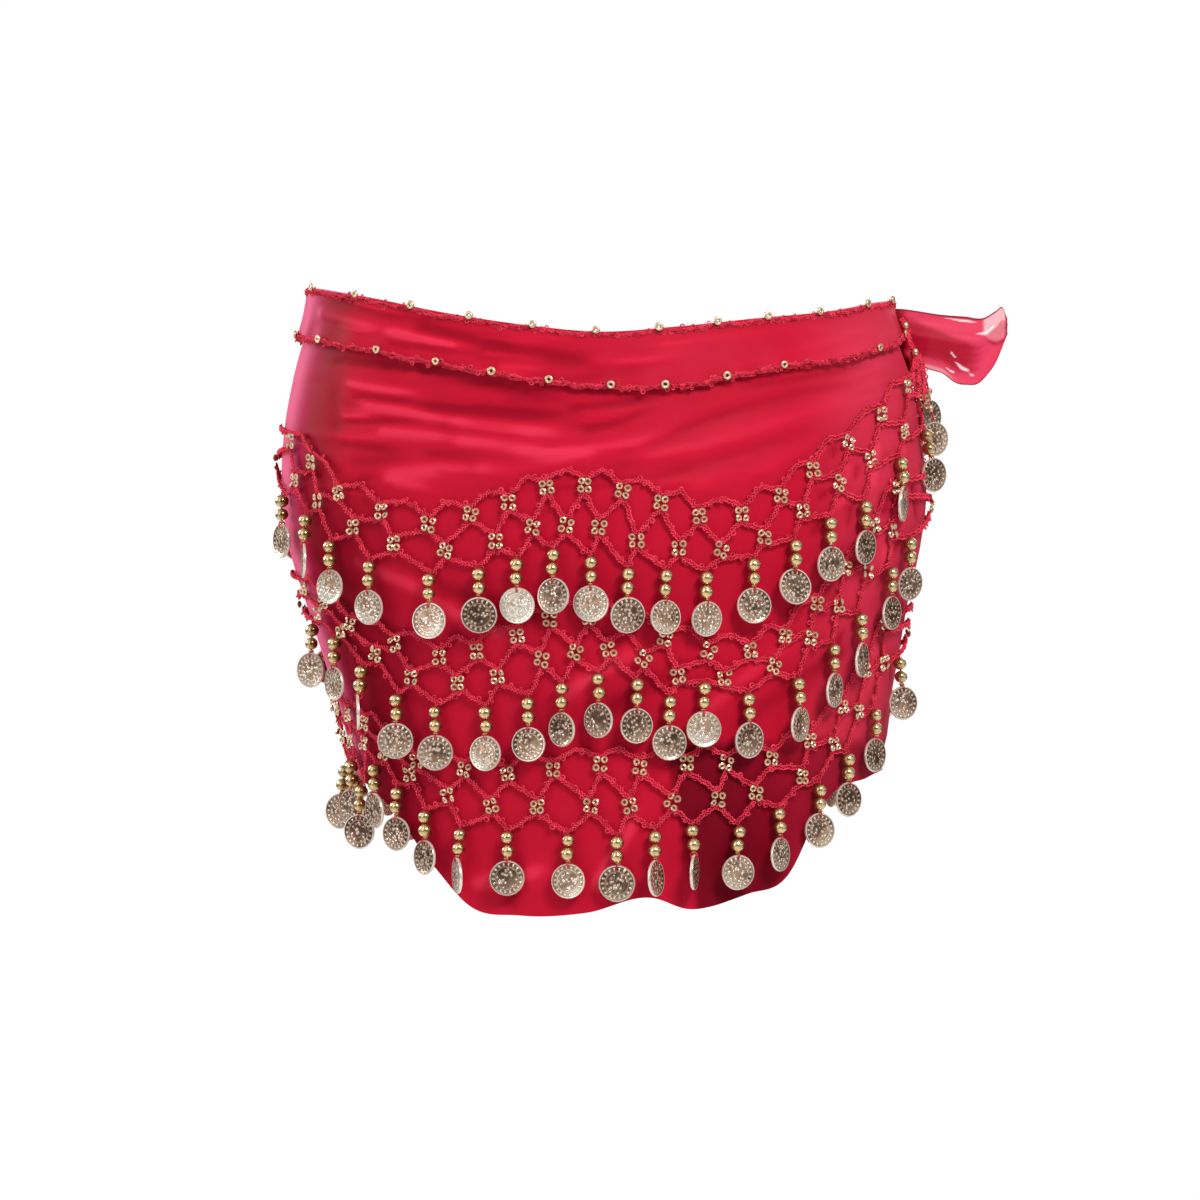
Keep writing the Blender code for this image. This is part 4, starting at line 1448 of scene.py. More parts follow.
@dataclass
class Edging(SubAssembly):
    """A crocheted edging along the band, drawn up a little at each of its small gold beads."""

    name: str
    line: str
    lift: float
    rise: float
    bead_rise: float
    scallop: float
    front_beads: tuple[float, ...]
    back_count: int = 14
    back_margin: float = 7.0
    rows: tuple[EdgingRow, ...] = (EdgingRow(0.0, 0.0, 1.0), EdgingRow(-0.0013, 0.0001, 0.72))
    wave_depth: float = 0.00040
    picot_every: float = 0.0060
    bead: Ring = Ring(0.00145, 0.00082, 14, 8)
    bead_lift: float = 0.0016
    stitch: ChainStitch = ChainStitch(
        ply_radius=0.00034, side_swing=0.00064, stitch=0.0042, spacing=0.00100, picot_radius=0.00080)

    def bead_angles(self, rng: np.random.Generator) -> Array:
        """Angles of all the beads: the front ones, then even ones with a little sway on the back."""
        back = np.linspace(TURN / 2 + self.back_margin, TURN - self.back_margin, self.back_count)
        return np.concatenate([np.sort(self.front_beads), back + rng.uniform(-1.2, 1.2, self.back_count)])

    def sag(self, fine: Array, beads: Array) -> Array:
        """Drop of the edging between beads: scallop sin^2 of the part of the way between two.

        Args:
            fine: Angles along the edging.
            beads: Angles of its beads.

        Returns:
            The drop at each angle.
        """
        closed = np.concatenate([beads[-1:] - TURN, beads, beads[:1] + TURN])
        index = np.clip(np.searchsorted(closed, fine, side="right") - 1, 0, len(closed) - 2)
        part = (fine - closed[index]) / (closed[index + 1] - closed[index])
        return self.scallop * np.sin(np.pi * part) ** 2

    def build(self, rng: np.random.Generator) -> list[Object]:
        """Build the double chain, its picots and its beads.

        Args:
            rng: Source of its uneven places.

        Returns:
            The chain and the beads.
        """
        beads = self.bead_angles(rng)
        fine = np.linspace(0.0, TURN, 6001)
        heights = self.form.edge(self.line, fine) + self.rise - self.sag(fine, beads)
        relief = self.form.relief(fine, heights)
        chains = []
        for index, row in enumerate(self.rows):
            wave = self.wave_depth * np.sin(np.radians(fine) * (67 + 11 * index) + index)
            route = Route.over(self.form, fine, heights + row.shift + wave, self.lift + relief + row.away,
                               self.stitch.spacing, closed=True)
            chains.append(self.stitch.work(route))
            # the lower chain is darker: painted shade
            chains[-1].masks["depth"] *= row.bright
            chains.append(self.stitch.picots(route, self.picot_every, rng))
        nodes = (f"{self.name}_front", f"{self.name}_back")
        chain = make_piece(f"{self.name}_chain", join(chains), self.finishes.thread, nodes)
        levels = self.form.edge(self.line, beads) + self.rise + self.bead_rise
        places = self.form.points(beads, levels, self.lift + self.bead_lift + self.form.relief(beads, levels))
        sizes = rng.uniform(0.92, 1.08, len(beads))
        rings = copies(self.bead.shape(), places, self.form.axes(beads, levels), sizes)
        return [chain, make_piece(f"{self.name}_beads", rings, self.finishes.seed)]


class Turning(Enum):
    """Kinds of turning points of a net's chains."""

    HIGH = "high"
    FIRST = "first"
    SECOND = "second"
    ROOT = "root"


def mirrored(places: Array) -> Array:
    """The back's places, as a mirror of the front's rows of angle and height."""
    return np.column_stack([TURN - places[::-1, 0], places[::-1, 1]])


def turned_about(axes: Array, kept: int, turns: Array) -> Array:
    """Turn each set of three axes about one of them: first cos a + second sin a, and so on round.

    Args:
        axes: For each copy a matrix whose rows are its axes.
        kept: Number of the axis to turn about.
        turns: Turn of each copy in radians.

    Returns:
        The turned axes.
    """
    first, second = (kept + 1) % 3, (kept + 2) % 3
    cosine, sine = np.cos(turns)[:, None], np.sin(turns)[:, None]
    made = axes.copy()
    made[:, first] = cosine * axes[:, first] + sine * axes[:, second]
    made[:, second] = cosine * axes[:, second] - sine * axes[:, first]
    return made


@dataclass(frozen=True)
class CoinForm:
    """A thin pressed coin with a raised rim and a softly domed, lobed field.

    Each ring of its face is a share of its radius, with its rise on the lobes and on the rim.
    """

    radius: float = 0.0095
    half_thick: float = 0.00045
    rim: float = 0.00028
    lobes: int = 5
    lobe_rise: float = 0.00016
    segments: int = 24
    face_rings: tuple[float, ...] = (0.14, 0.28, 0.42, 0.56, 0.68, 0.86, 0.90, 0.97)
    lobe_shares: tuple[float, ...] = (1.0, 0.9, 1.0, 0.5, 0.0, 0.0, 0.0, 0.0)
    rim_shares: tuple[float, ...] = (0.0, 0.0, 0.0, 0.0, 0.0, 0.0, 1.0, 1.0)
    back_rings: tuple[float, ...] = (1.0, 0.97, 0.90, 0.86)

    def shape(self) -> Form:
        """Turn the coin's profile, raising the field by lobes sin(n a + 4 r) inside its inner ring.

        Returns:
            The closed coin, facing along its third axis, with its face as pattern coordinates.
        """
        face = np.array(self.face_rings)[:, None]
        turn = even_turns(self.segments)
        wave = 0.5 + 0.5 * np.sin(self.lobes * turn + 4.0 * face)
        lobes = np.array(self.lobe_shares)[:, None] * self.lobe_rise * wave
        levels = self.half_thick + np.array(self.rim_shares)[:, None] * self.rim + lobes
        foot = -self.half_thick - self.rim
        back = np.array([0.0, foot, foot, -self.half_thick])[:, None]
        levels = np.vstack([levels, np.broadcast_to(back, (len(back), self.segments))])
        radii = np.concatenate([self.face_rings, self.back_rings])[:, None] * self.radius
        points = np.stack([radii * np.cos(turn), radii * np.sin(turn), levels], axis=-1).reshape(-1, 3)
        poles = [(0.0, 0.0, self.half_thick + self.lobe_rise), (0.0, 0.0, -self.half_thick)]
        points = np.vstack([points, poles])
        quads = grid_quads(len(radii), self.segments, round_columns=True)
        pattern = points[:, :2] / self.radius / 2 + 0.5
        return Form(points, quads, pole_fans(len(radii), self.segments), pattern).faced_out()


@dataclass
class NetTier(SubAssembly):
    """One tier of net: three zigzag chains, two rows of four-bead flowers and a coin drop in each column.

    The front's columns are listed; the back is their mirror with a little sway of its own. Each drop has
    two beads, a collar, a loop and a coin, at their distances below its root.
    """

    name: str
    seam_height: float
    table: tuple[NetColumn, ...]
    seed: int
    high_rise: float = 0.009
    pad_half: float = 0.0042
    lift: float = 0.0034
    relief_share: float = 0.6
    wander: float = 0.0004
    picot_every: float = 0.0062
    flower_ring: Ring = Ring(0.00133, 0.00070)
    flower_half: float = 0.00212
    flower_lift: float = 0.0010
    bead_radius: float = 0.0037
    bead_drops: tuple[float, float] = (0.0044, 0.0116)
    collar: Ring = Ring(0.0012, 0.0005, 10)
    collar_drop: float = 0.0156
    thread_start: float = -0.0006
    thread_end: float = 0.0170
    thread_radius: float = 0.00055
    loop: Ring = Ring(0.0018, 0.00040, 12)
    loop_drop: float = 0.0172
    coin_drop: float = 0.0259
    rest_lift: float = 0.0056
    lean_reach: float = 0.022
    coin_clearance: float = 0.0022
    coin_lean: float = 0.0095
    stitch: ChainStitch = ChainStitch()

    def __post_init__(self) -> None:
        """Lay out every turning point all round the body."""
        self.rng = np.random.default_rng(self.seed)
        rows = np.array([astuple(column)[:6] for column in self.table], float)
        rows[:, 1::2] *= MM
        firsts, seconds, drops = rows[:, 0:2], rows[:, 2:4], rows[:, 4:6]
        middles = (firsts[1:] + firsts[:-1]) / 2
        highs = np.vstack([(0.0, firsts[0, 1]), middles, (TURN / 2, firsts[-1, 1]), mirrored(middles)])
        highs[:, 1] += self.high_rise
        knot_seam = (0.0, self.seam_height * MM)
        self.turning = {
            Turning.HIGH: highs,
            Turning.FIRST: np.vstack([firsts, mirrored(firsts)]),
            Turning.SECOND: np.vstack([knot_seam, seconds, mirrored(seconds[:-1])]),
            Turning.ROOT: np.vstack([drops, mirrored(drops)]),
        }
        self.columns = 2 * len(self.table)
        for places in self.turning.values():
            behind = places[:, 0] > TURN / 2
            places += self.rng.normal(0.0, 1.0, places.shape) * (0.3, 0.0006) * behind[:, None]

    def strand(self, between: Turning, between_shift: float, on: Turning, on_shift: float) -> Route:
        """Path of one zigzag chain all round the body.

        Args:
            between: Turning points between the columns.
            between_shift: How far above them the chain turns.
            on: Turning points on the columns.
            on_shift: The same for these.

        Returns:
            The closed route.
        """
        raised = self.turning[between] + (0.0, between_shift), self.turning[on] + (0.0, on_shift)
        places = np.stack(raised, axis=1).reshape(-1, 2)
        places = np.vstack([places, places[0] + (TURN, 0.0)])
        fine = np.linspace(0.0, len(places) - 1, 9001)
        index = np.minimum(fine.astype(int), len(places) - 2)
        part = fine - index
        eased = 0.5 * part + 0.5 * soft_step(part)
        angles = places[index, 0] + (places[index + 1, 0] - places[index, 0]) * part
        heights = places[index, 1] + (places[index + 1, 1] - places[index, 1]) * eased
        heights = heights + self.wander * np.sin(fine * 4.7 + self.seed)
        lifts = self.lift + self.wander * np.sin(fine * 2.3 + self.seed)
        lifts = lifts + self.form.relief(angles, heights) * self.relief_share
        return Route.over(self.form, angles, heights, lifts, self.stitch.spacing, closed=True)

    def build(self) -> list[Object]:
        """Build the chains, flowers and coin drops.

        Returns:
            The tier's four pieces.
        """
        gap = self.pad_half
        strands = (
            self.strand(Turning.HIGH, 0.0, Turning.FIRST, gap),
            self.strand(Turning.SECOND, gap, Turning.FIRST, -gap),
            self.strand(Turning.SECOND, -gap, Turning.ROOT, 0.0),
        )
        chains = [self.stitch.work(route) for route in strands]
        chains += [self.stitch.picots(route, self.picot_every, self.rng) for route in strands]
        chains.append(self.drop_threads())
        nodes = (f"net_{self.name}_front", f"net_{self.name}_back")
        return [
            make_piece(f"{self.name}_net_chains", join(chains), self.finishes.thread, nodes),
            make_piece(f"{self.name}_net_flowers", self.flowers(), self.finishes.seed),
            make_piece(f"{self.name}_drop_beads", self.drop_beads(), self.finishes.bead),
            make_piece(f"{self.name}_coins", self.coins(), self.finishes.coin),
        ]

    def flowers(self) -> Form:
        """Make four small ring beads in a square at every pad, each a little out of true.

        Returns:
            All the beads as one form.
        """
        spots = np.array([(-1, -1, 0), (1, -1, 0), (1, 1, 0), (-1, 1, 0)]) * self.flower_half
        groups = []
        for kind in (Turning.FIRST, Turning.SECOND):
            angles, heights = self.turning[kind].T
            lifts = self.lift + self.flower_lift + self.form.relief(angles, heights) * self.relief_share
            places = self.form.points(angles, heights, lifts)
            axes = turned_about(self.form.axes(angles, heights), 2, self.rng.normal(0.0, 0.20, self.columns))
            jolts = spots[None] + self.rng.normal(0.0, 0.00022, (self.columns, 4, 3))
            corners = places[:, None, :] + np.einsum("kij,kni->knj", axes, jolts)
            ring_axes = np.repeat(axes, 4, axis=0)
            for kept in (0, 1):
                ring_axes = turned_about(ring_axes, kept, self.rng.normal(0.0, 0.25, 4 * self.columns))
            groups.append(copies(self.flower_ring.shape(), corners.reshape(-1, 3), ring_axes))
        return join(groups)

    def drop_axis(self, below: float) -> tuple[Array, Array]:
        """Places and axes of the coin drops at a distance below their roots.

        Args:
            below: The distance.

        Returns:
            Points and matrices of axes.
        """
        angles, roots = self.turning[Turning.ROOT].T
        heights = roots - below
        read = self.form.hang_height(heights, roots)
        leant = min(1.0, max(0.0, below) / self.lean_reach)
        lift = self.rest_lift + (self.drop_lifts() - self.rest_lift) * leant
        places, outward = self.form.plan(angles, read)
        places = places + outward * lift[:, None]
        return np.column_stack([places, heights]), self.form.axes(angles, read)

    def turns(self) -> Array:
        """Turn of each coin about its thread in radians, away from the cloth's own facing.

        A front coin's listed turn is from straight ahead, to the side that its cloth faces.

        Returns:
            The turns.
        """
        angles, roots = self.turning[Turning.ROOT].T
        outward = self.form.axes(angles, self.form.hang_height(roots, roots))[:, 2]
        facing = np.degrees(np.arctan2(outward[:, 0], -outward[:, 1]))
        front = len(self.table)
        sides = np.where(angles[:front] < TURN / 4, 1.0, -1.0)
        listed = np.array([column.turn for column in self.table]) * sides - facing[:front]
        back = np.random.default_rng(self.seed + 7).normal(0.0, 26.0, self.columns - front)
        return np.radians(np.concatenate([listed, back]))

    def drop_lifts(self) -> Array:
        """Lift of each coin's axis, so that its inner edge just leans on the cloth."""
        return np.maximum(self.rest_lift, self.coin_clearance + self.coin_lean * np.abs(np.sin(self.turns())))

    def drop_beads(self) -> Form:
        """Make two round beads on every drop, a little out of line, with a small collar below them.

        Returns:
            All the beads as one form.
        """
        bead = ball_form(self.bead_radius, 14, 9, squash=0.94)
        collar = self.collar.shape()
        collar.points = collar.points[:, [0, 2, 1]]
        groups = []
        for below, form in zip((*self.bead_drops, self.collar_drop), (bead, bead, collar.faced_out())):
            places, axes = self.drop_axis(below)
            places = places + axes[:, 0] * self.rng.normal(0.0, 0.0003, (self.columns, 1))
            groups.append(copies(form, places, axes, self.rng.uniform(0.95, 1.05, self.columns)))
        return join(groups)

    def drop_threads(self) -> Form:
        """Make the thread through every drop, and its loop through the coin's hole.

        Returns:
            All the threads as one form.
        """
        stacks = [self.drop_axis(below) for below in np.linspace(self.thread_start, self.thread_end, 6)]
        forms = []
        for column in range(self.columns):
            centres = np.stack([places[column] for places, _ in stacks])
            side, out = (np.stack([axes[column, axis] for _, axes in stacks]) for axis in (0, 2))
            forms.append(thread_between(centres, side, out, self.thread_radius))
        loop = self.loop.shape()
        loop.points = loop.points[:, [2, 1, 0]]
        loop.masks["depth"] = np.full(len(loop.points), THREAD_DEPTH)
        places, axes = self.drop_axis(self.loop_drop)
        return join([*forms, copies(loop.faced_out(), places, turned_about(axes, 1, self.turns()))])

    def coins(self) -> Form:
        """Hang a pressed coin on every drop, turned about its thread and leaning a little.

        Returns:
            All the coins as one form.
        """
        places, axes = self.drop_axis(self.coin_drop)
        spare = self.columns - len(self.table)
        leans = np.radians([column.lean for column in self.table] + [0.0] * spare)
        # tones: partly tarnish, partly painted reflection of the lights
        tones = np.concatenate([[column.tone for column in self.table], self.rng.uniform(0.1, 0.9, spare)])
        axes = turned_about(axes, 1, self.turns())
        axes = turned_about(axes, 2, self.rng.normal(0.0, 0.05, self.columns) + leans)
        axes = turned_about(axes, 0, self.rng.normal(0.02, 0.06, self.columns))
        return copies(CoinForm().shape(), places, axes, self.rng.uniform(0.97, 1.03, self.columns), tones)


@dataclass
class KnotEdge(SubAssembly):
    """The scarf's short edge drawn together over the knot: chains with beads, and two coins below them.

    Places are in millimetres. The last chains lie deep behind the others and are darkened with painted shade.
    """

    chains: tuple[tuple[Place, ...], ...] = (
        ((165.2, -8.0, -5.5), (167.4, -8.5, -11.0), (169.8, -8.8, -18.0), (172.6, -8.6, -26.5),
         (171.4, -9.2, -34.0), (171.2, -10.5, -43.0)),
        ((172.6, -8.0, -26.0), (174.4, -7.2, -33.0), (174.6, -7.2, -41.0), (174.0, -7.4, -50.0)),
        ((173.6, -7.0, -24.0), (176.9, -5.2, -31.0), (177.9, -4.0, -38.0), (178.0, -3.6, -46.0),
         (177.0, -3.8, -53.0)),
        ((170.8, -7.8, -24.0), (172.7, -7.8, -33.0), (173.1, -8.2, -41.0), (173.8, -8.6, -50.0),
         (175.6, -8.0, -60.0)),
        ((174.4, -5.8, -27.0), (176.0, -4.6, -33.0), (176.3, -4.2, -41.0), (175.7, -4.6, -52.0),
         (176.6, -5.0, -64.0)),
    )
    deep_chains: int = 2
    deep_bright: float = 0.6
    picot_every: float = 0.0050
    facing: Place = (0.35, -0.94, 0.0)
    chain_beads: tuple[float, ...] = (0.14, 0.53)
    bead_radius: float = 0.0021
    bead_lift: float = 0.0014
    flower: Place = (177.3, -7.6, -51.2)
    flower_ring: Ring = Ring(0.00128, 0.00068)
    flower_half: float = 1.9
    coin_roots: tuple[Place, ...] = ((179.5, -2.8, -40.0), (179.0, -3.6, -47.0))
    coin_places: tuple[Place, ...] = ((182.2, 5.0, -59.0), (183.8, -4.5, -71.5))
    coin_turns: tuple[float, ...] = (50.0, 36.0)
    # tones: brightness, partly tarnish and partly painted reflection of the lights
    coin_tones: tuple[float, ...] = (0.30, 0.55)
    hole_height: float = 8.7
    thread_radius: float = 0.0005
    stitch: ChainStitch = ChainStitch(
        ply_radius=0.00068, side_swing=0.00115, out_swing=0.00040, stitch=0.0040)

    def path(self, places: Sequence[Place]) -> Route:
        """Lay an open route through places, its stitches turned to the front.

        Args:
            places: The places.

        Returns:
            The route.
        """
        rough = np.array(places) * MM
        walked = walked_along(rough)
        marks = np.linspace(0.0, walked[-1], int(walked[-1] / self.stitch.spacing))
        centres = np.column_stack([smooth_curve(walked, rough[:, axis], marks) for axis in range(3)])
        along = unit(np.gradient(centres, axis=0))
        side = unit(np.cross(along, np.array(self.facing)))
        return Route(centres, side, np.cross(side, along), float(walked[-1]), False)

    def build(self, rng: np.random.Generator) -> list[Object]:
        """Build the chains, their beads and the two hung coins.

        Args:
            rng: Source of the uneven places.

        Returns:
            The three pieces.
        """
        routes = [self.path(chain) for chain in self.chains]
        roots, places = np.array(self.coin_roots) * MM, np.array(self.coin_places) * MM
        holes = places + (0.0, 0.0, self.hole_height * MM)
        front = np.array([[1.0, 0.0, 0.0], [0.0, 0.0, 1.0], [0.0, -1.0, 0.0]])
        turned = turned_about(np.stack([front, front]), 1, np.radians(self.coin_turns))
        steps = np.linspace(0.0, 1.0, 5)[:, None]
        threads = [
            thread_between(root + (hole - root) * steps, np.tile(axes[0], (5, 1)), np.tile(axes[2], (5, 1)),
                           self.thread_radius)
            for root, hole, axes in zip(roots, holes, turned)
        ]
        chains = [self.stitch.work(route) for route in routes]
        # the deep chains are darker: painted shade
        for chain in chains[-self.deep_chains:]:
            chain.masks["depth"] *= self.deep_bright
        outer = routes[:-self.deep_chains]
        chains += [self.stitch.picots(route, self.picot_every, rng) for route in outer]
        inner = routes[0]
        marks = (np.array(self.chain_beads) * (len(inner.centres) - 1)).astype(int)
        spots = np.vstack([inner.centres[marks] + inner.out[marks] * self.bead_lift, (roots + holes) / 2])
        corners = np.array([(-1, 0, -1), (1, 0, -1), (1, 0, 1), (-1, 0, 1)]) * self.flower_half * MM
        petals = np.array(self.flower) * MM + corners + rng.normal(0.0, 0.0002, (4, 3))
        petal_axes = turned_about(np.stack([front] * 4), 1, np.full(4, 0.3))
        beads = join([
            copies(ball_form(self.bead_radius, 12, 7), spots, np.stack([front] * len(spots))),
            copies(self.flower_ring.shape(), petals, petal_axes),
        ])
        coins = copies(CoinForm().shape(), places, turned, tones=np.array(self.coin_tones))
        return [
            make_piece("knot_edge_chains", join([*chains, *threads]), self.finishes.thread),
            make_piece("knot_edge_beads", beads, self.finishes.seed),
            make_piece("knot_edge_coins", coins, self.finishes.coin),
        ]


# ---- knot and tails


@dataclass(frozen=True)
class TailStation:
    """Upper and lower edge of a tail at one part of its length, in millimetres from its root."""

    reach: float
    top: float
    low: float


TAIL_OUTLINE = tuple(TailStation(*row) for row in (
    (0, 3, -20), (0.2, 1, -28), (0.4, -1, -32), (0.62, -2, -39), (0.8, -2.5, -35), (0.9, 1.2, -26),
    (0.96, 3, -17), (1, -3, -11),
))


@dataclass(frozen=True)
class Glint:
    """A painted highlight on a tail: a pale streak between two places, each given as parts of its length and
    of its depth.
    """

    reach: float
    part: float
    end_reach: float
    end_part: float
    half_width: float

    def streak(self, reach: Array, part: Array) -> Array:
        """Mask of the streak: leaf-shaped, a little wavy, with soft ends.

        Args:
            reach: Part of the tail's length, in a row.
            part: Part of its depth, in a column.

        Returns:
            1 on the streak and 0 off it.
        """
        along, down = self.end_reach - self.reach, self.end_part - self.part
        square = along ** 2 + down ** 2
        passed = ((reach - self.reach) * along + (part - self.part) * down) / square
        off = ((part - self.part) * along - (reach - self.reach) * down) / math.sqrt(square)
        off = off + 0.35 * self.half_width * np.sin(9.0 * passed)
        leaf = 0.25 + 0.95 * np.sin(np.pi * np.clip(passed, 0.0, 1.0) ** 1.4)
        ends = soft_step(passed * 6) * soft_step((1 - passed) * 6)
        return soft_step(1.6 - np.abs(off) / (self.half_width * leaf)) * ends


TAIL_GLINTS = tuple(Glint(*row) for row in (
    (0.43, 0.045, 0.745, 0.063, 0.01), (0.53, 0.7, 0.665, 0.82, 0.015), (0.66, 0.83, 0.7, 0.87, 0.008),
    (0.49, 0.56, 0.545, 0.66, 0.008), (0.45, 0.87, 0.54, 0.86, 0.01), (0.717, 0.22, 0.9, 0.25, 0.02),
))


@dataclass
class SheerTail(SubAssembly):
    """A free end of the tied cloth, one sheer layer with long folds, thinner to the eye at its tip."""

    name: str
    node: str
    root: Place
    along: tuple[float, float]
    length: float = 0.057
    tuck: float = 0.0
    slant: float = 0.0
    tuck_reach: float = 0.12
    fold_depth: float = 0.0018
    folds: float = 1.4
    fine_depth: float = 0.00012
    edge_ripple: float = 0.30
    fold_sway: float = 0.6
    thickness: float = 0.00035
    columns: int = 70
    rows: int = 90

    def build(self) -> Object:
        """Build the tail: along + across fold sin(folds part) with the outline's two edges.

        Its root is tucked across and slanted, so that it leaves the knot clear of the wrap's hollow.

        Returns:
            The tail.
        """
        reach = np.linspace(0.0, 1.0, self.columns)[None, :]
        part = np.linspace(0.0, 1.0, self.rows)[:, None]
        top, low = (read_rows(TAIL_OUTLINE, "reach", edge, reach) for edge in ("top", "low"))
        low = low + self.edge_ripple * np.sin(31.0 * reach + 1.0) * soft_step((reach - 0.30) / 0.1)
        opening = 0.35 + 0.65 * np.sin(np.pi * np.minimum(reach + 0.05, 0.75))
        phase = 2 * np.pi * self.folds * part + 0.8 + 0.5 * reach
        wave = self.fold_depth / 2 * opening * np.sin(phase)
        fine = self.fine_depth * np.sin(phase * 3.3 + reach * 4) * opening
        heights = (top + (low - top) * part + self.fold_sway * np.sin(phase + 1.2) * opening) * MM
        near_root = np.maximum(0.0, 1 - reach / self.tuck_reach) ** 2
        forward = np.array([*self.along, 0.0])
        across = np.array([-self.along[1], self.along[0], 0.0])
        ahead = self.length * reach + self.slant * part * near_root
        middle = np.array(self.root) + forward * ahead[..., None]
        middle = middle + across * (wave + fine + self.tuck * near_root)[..., None]
        middle[..., 2] += heights
        half = across * self.thickness / 2
        wall = double_wall(middle + half, middle - half, around=False)
        for mask, values in self.looks(reach, part, np.sin(phase)).items():
            wall.masks[mask] = both_sides(values, values).ravel()
        flat = np.stack([np.broadcast_to(self.length * reach, heights.shape), heights], axis=-1)
        wall.pattern = both_sides(flat, flat).reshape(-1, 2)
        return make_piece(self.name, wall.faced_out(), self.finishes.sheer, (self.node,))

    def looks(self, reach: Array, part: Array, folds: Array) -> dict[str, Array]:
        """Masks of the tail: painted shade in a deep slanting fold, a see-through tip, dark rolled edges and
        painted highlights as glints.

        Args:
            reach: Part of the length, in a row.
            part: Part of the depth, in a column.
            folds: Height of the long folds from -1 to 1 over the grid.

        Returns:
            Each mask by its name.
        """
        away = np.abs(part - 0.48 - 0.18 * reach) / (0.37 - 0.22 * reach)
        # deep: where the painted shade of the deep fold lies
        deep = soft_step((1.25 - away) / 0.5) * soft_step((0.82 - reach) / 0.22)
        border = 0.34 + 3.3 * (reach - 0.80)
        tip = soft_step((reach - 0.765) / 0.045) * soft_step((border - part) / 0.09)
        tip = tip * (1 - 0.50 * soft_step((part - 0.27) / 0.05))
        low_edge = 0.6 * soft_step((part - 0.89) / 0.05) * soft_step((0.62 - reach) / 0.2)
        on_border = soft_step((1 - np.abs(part - border) / 0.035) * 1.5) * soft_step((reach - 0.8) / 0.05)
        rolled = np.maximum.reduce(np.broadcast_arrays(
            soft_step((0.030 - part) / 0.012),
            soft_step((part - 0.976) / 0.012),
            soft_step((reach - 0.980) / 0.010),
            on_border,
        ))
        fine = np.sin(58.0 * (part + 0.10 * reach) + 2.0 * np.sin(5.0 * reach))
        fine = 0.07 * fine * soft_step(1.4 - reach)
        return {
            # fold: painted shade in the deep fold and along the fine folds
            "fold": np.clip(0.92 - 0.86 * deep + 0.06 * folds + fine, 0.0, 1.0),
            "thin": np.clip(np.maximum(tip, low_edge) + 0.08, 0.0, 1.0) * (1 - rolled),
            "shade": 0.75 * rolled,
            # glint: painted highlights
            "glint": np.maximum.reduce([glint.streak(reach, part) for glint in TAIL_GLINTS]),
        }


@dataclass
class Knot(SubAssembly):
    """The tied knot: a gathered lump with slanting folds and one wrap of cloth round its middle."""

    centre: Place = (0.1730, 0.0151, -0.0185)
    radii: Place = (0.0086, 0.0135, 0.0160)
    columns: int = 96
    rows: int = 60

    def build(self) -> Object:
        """Build the lump: radius times 1 + folds cos(7 b + 3 a), with the wrap swelling its middle.

        Returns:
            The knot.
        """
        fall = np.pi * (np.arange(self.rows) + 0.5) / self.rows
        fall, turn = np.meshgrid(fall, even_turns(self.columns), indexing="ij")
        folds = 0.045 * np.cos(7 * turn + 3.0 * fall) + 0.02 * np.cos(16 * turn - 5 * fall)
        tilt = fall + 0.25 * np.sin(turn)
        wrap = np.exp(-(((tilt - np.pi / 2) / 0.42) ** 4))
        swell = 0.90 + folds * (1 - wrap) + wrap * (0.08 + 0.02 * np.cos(14 * tilt))
        body = np.stack([np.sin(fall) * np.cos(turn), np.sin(fall) * np.sin(turn), np.cos(fall)], axis=-1)
        points = (np.array(self.centre) + body * np.array(self.radii) * swell[..., None]).reshape(-1, 3)
        poles = [points[:self.columns].mean(axis=0), points[-self.columns:].mean(axis=0)]
        flat = np.stack([turn.ravel() * 0.012, fall.ravel() * 0.018], axis=-1)
        # fold: painted shade in the fold troughs and painted highlight on the ridges
        fold = np.clip(0.5 + 6 * folds * (1 - wrap) + 0.2 * wrap, 0.0, 1.0).ravel()
        form = Form(
            np.vstack([points, poles]),
            grid_quads(self.rows, self.columns, round_columns=True),
            pole_fans(self.rows, self.columns),
            pattern=np.vstack([flat, flat[:1], flat[-1:]]),
            masks={"fold": np.concatenate([fold, [0.4, 0.4]])},
        )
        return make_piece("tied_knot", form.faced_out(), self.finishes.chiffon, ("knot",))


# ---- studio


@dataclass(frozen=True)
class Softbox:
    """A square soft light: where it hangs, the point it faces, its side in metres and its power in watts."""

    name: str
    place: Place
    aim: Place
    size: float
    power: float

    def hang(self) -> None:
        """Hang the light."""
        light = bpy.data.lights.new(self.name, "AREA")
        light.size = self.size
        light.energy = self.power
        lamp = new_object(self.name, light)
        lamp.location = self.place
        lamp.rotation_euler = (Vector(self.aim) - Vector(self.place)).to_track_quat("-Z", "Y").to_euler()


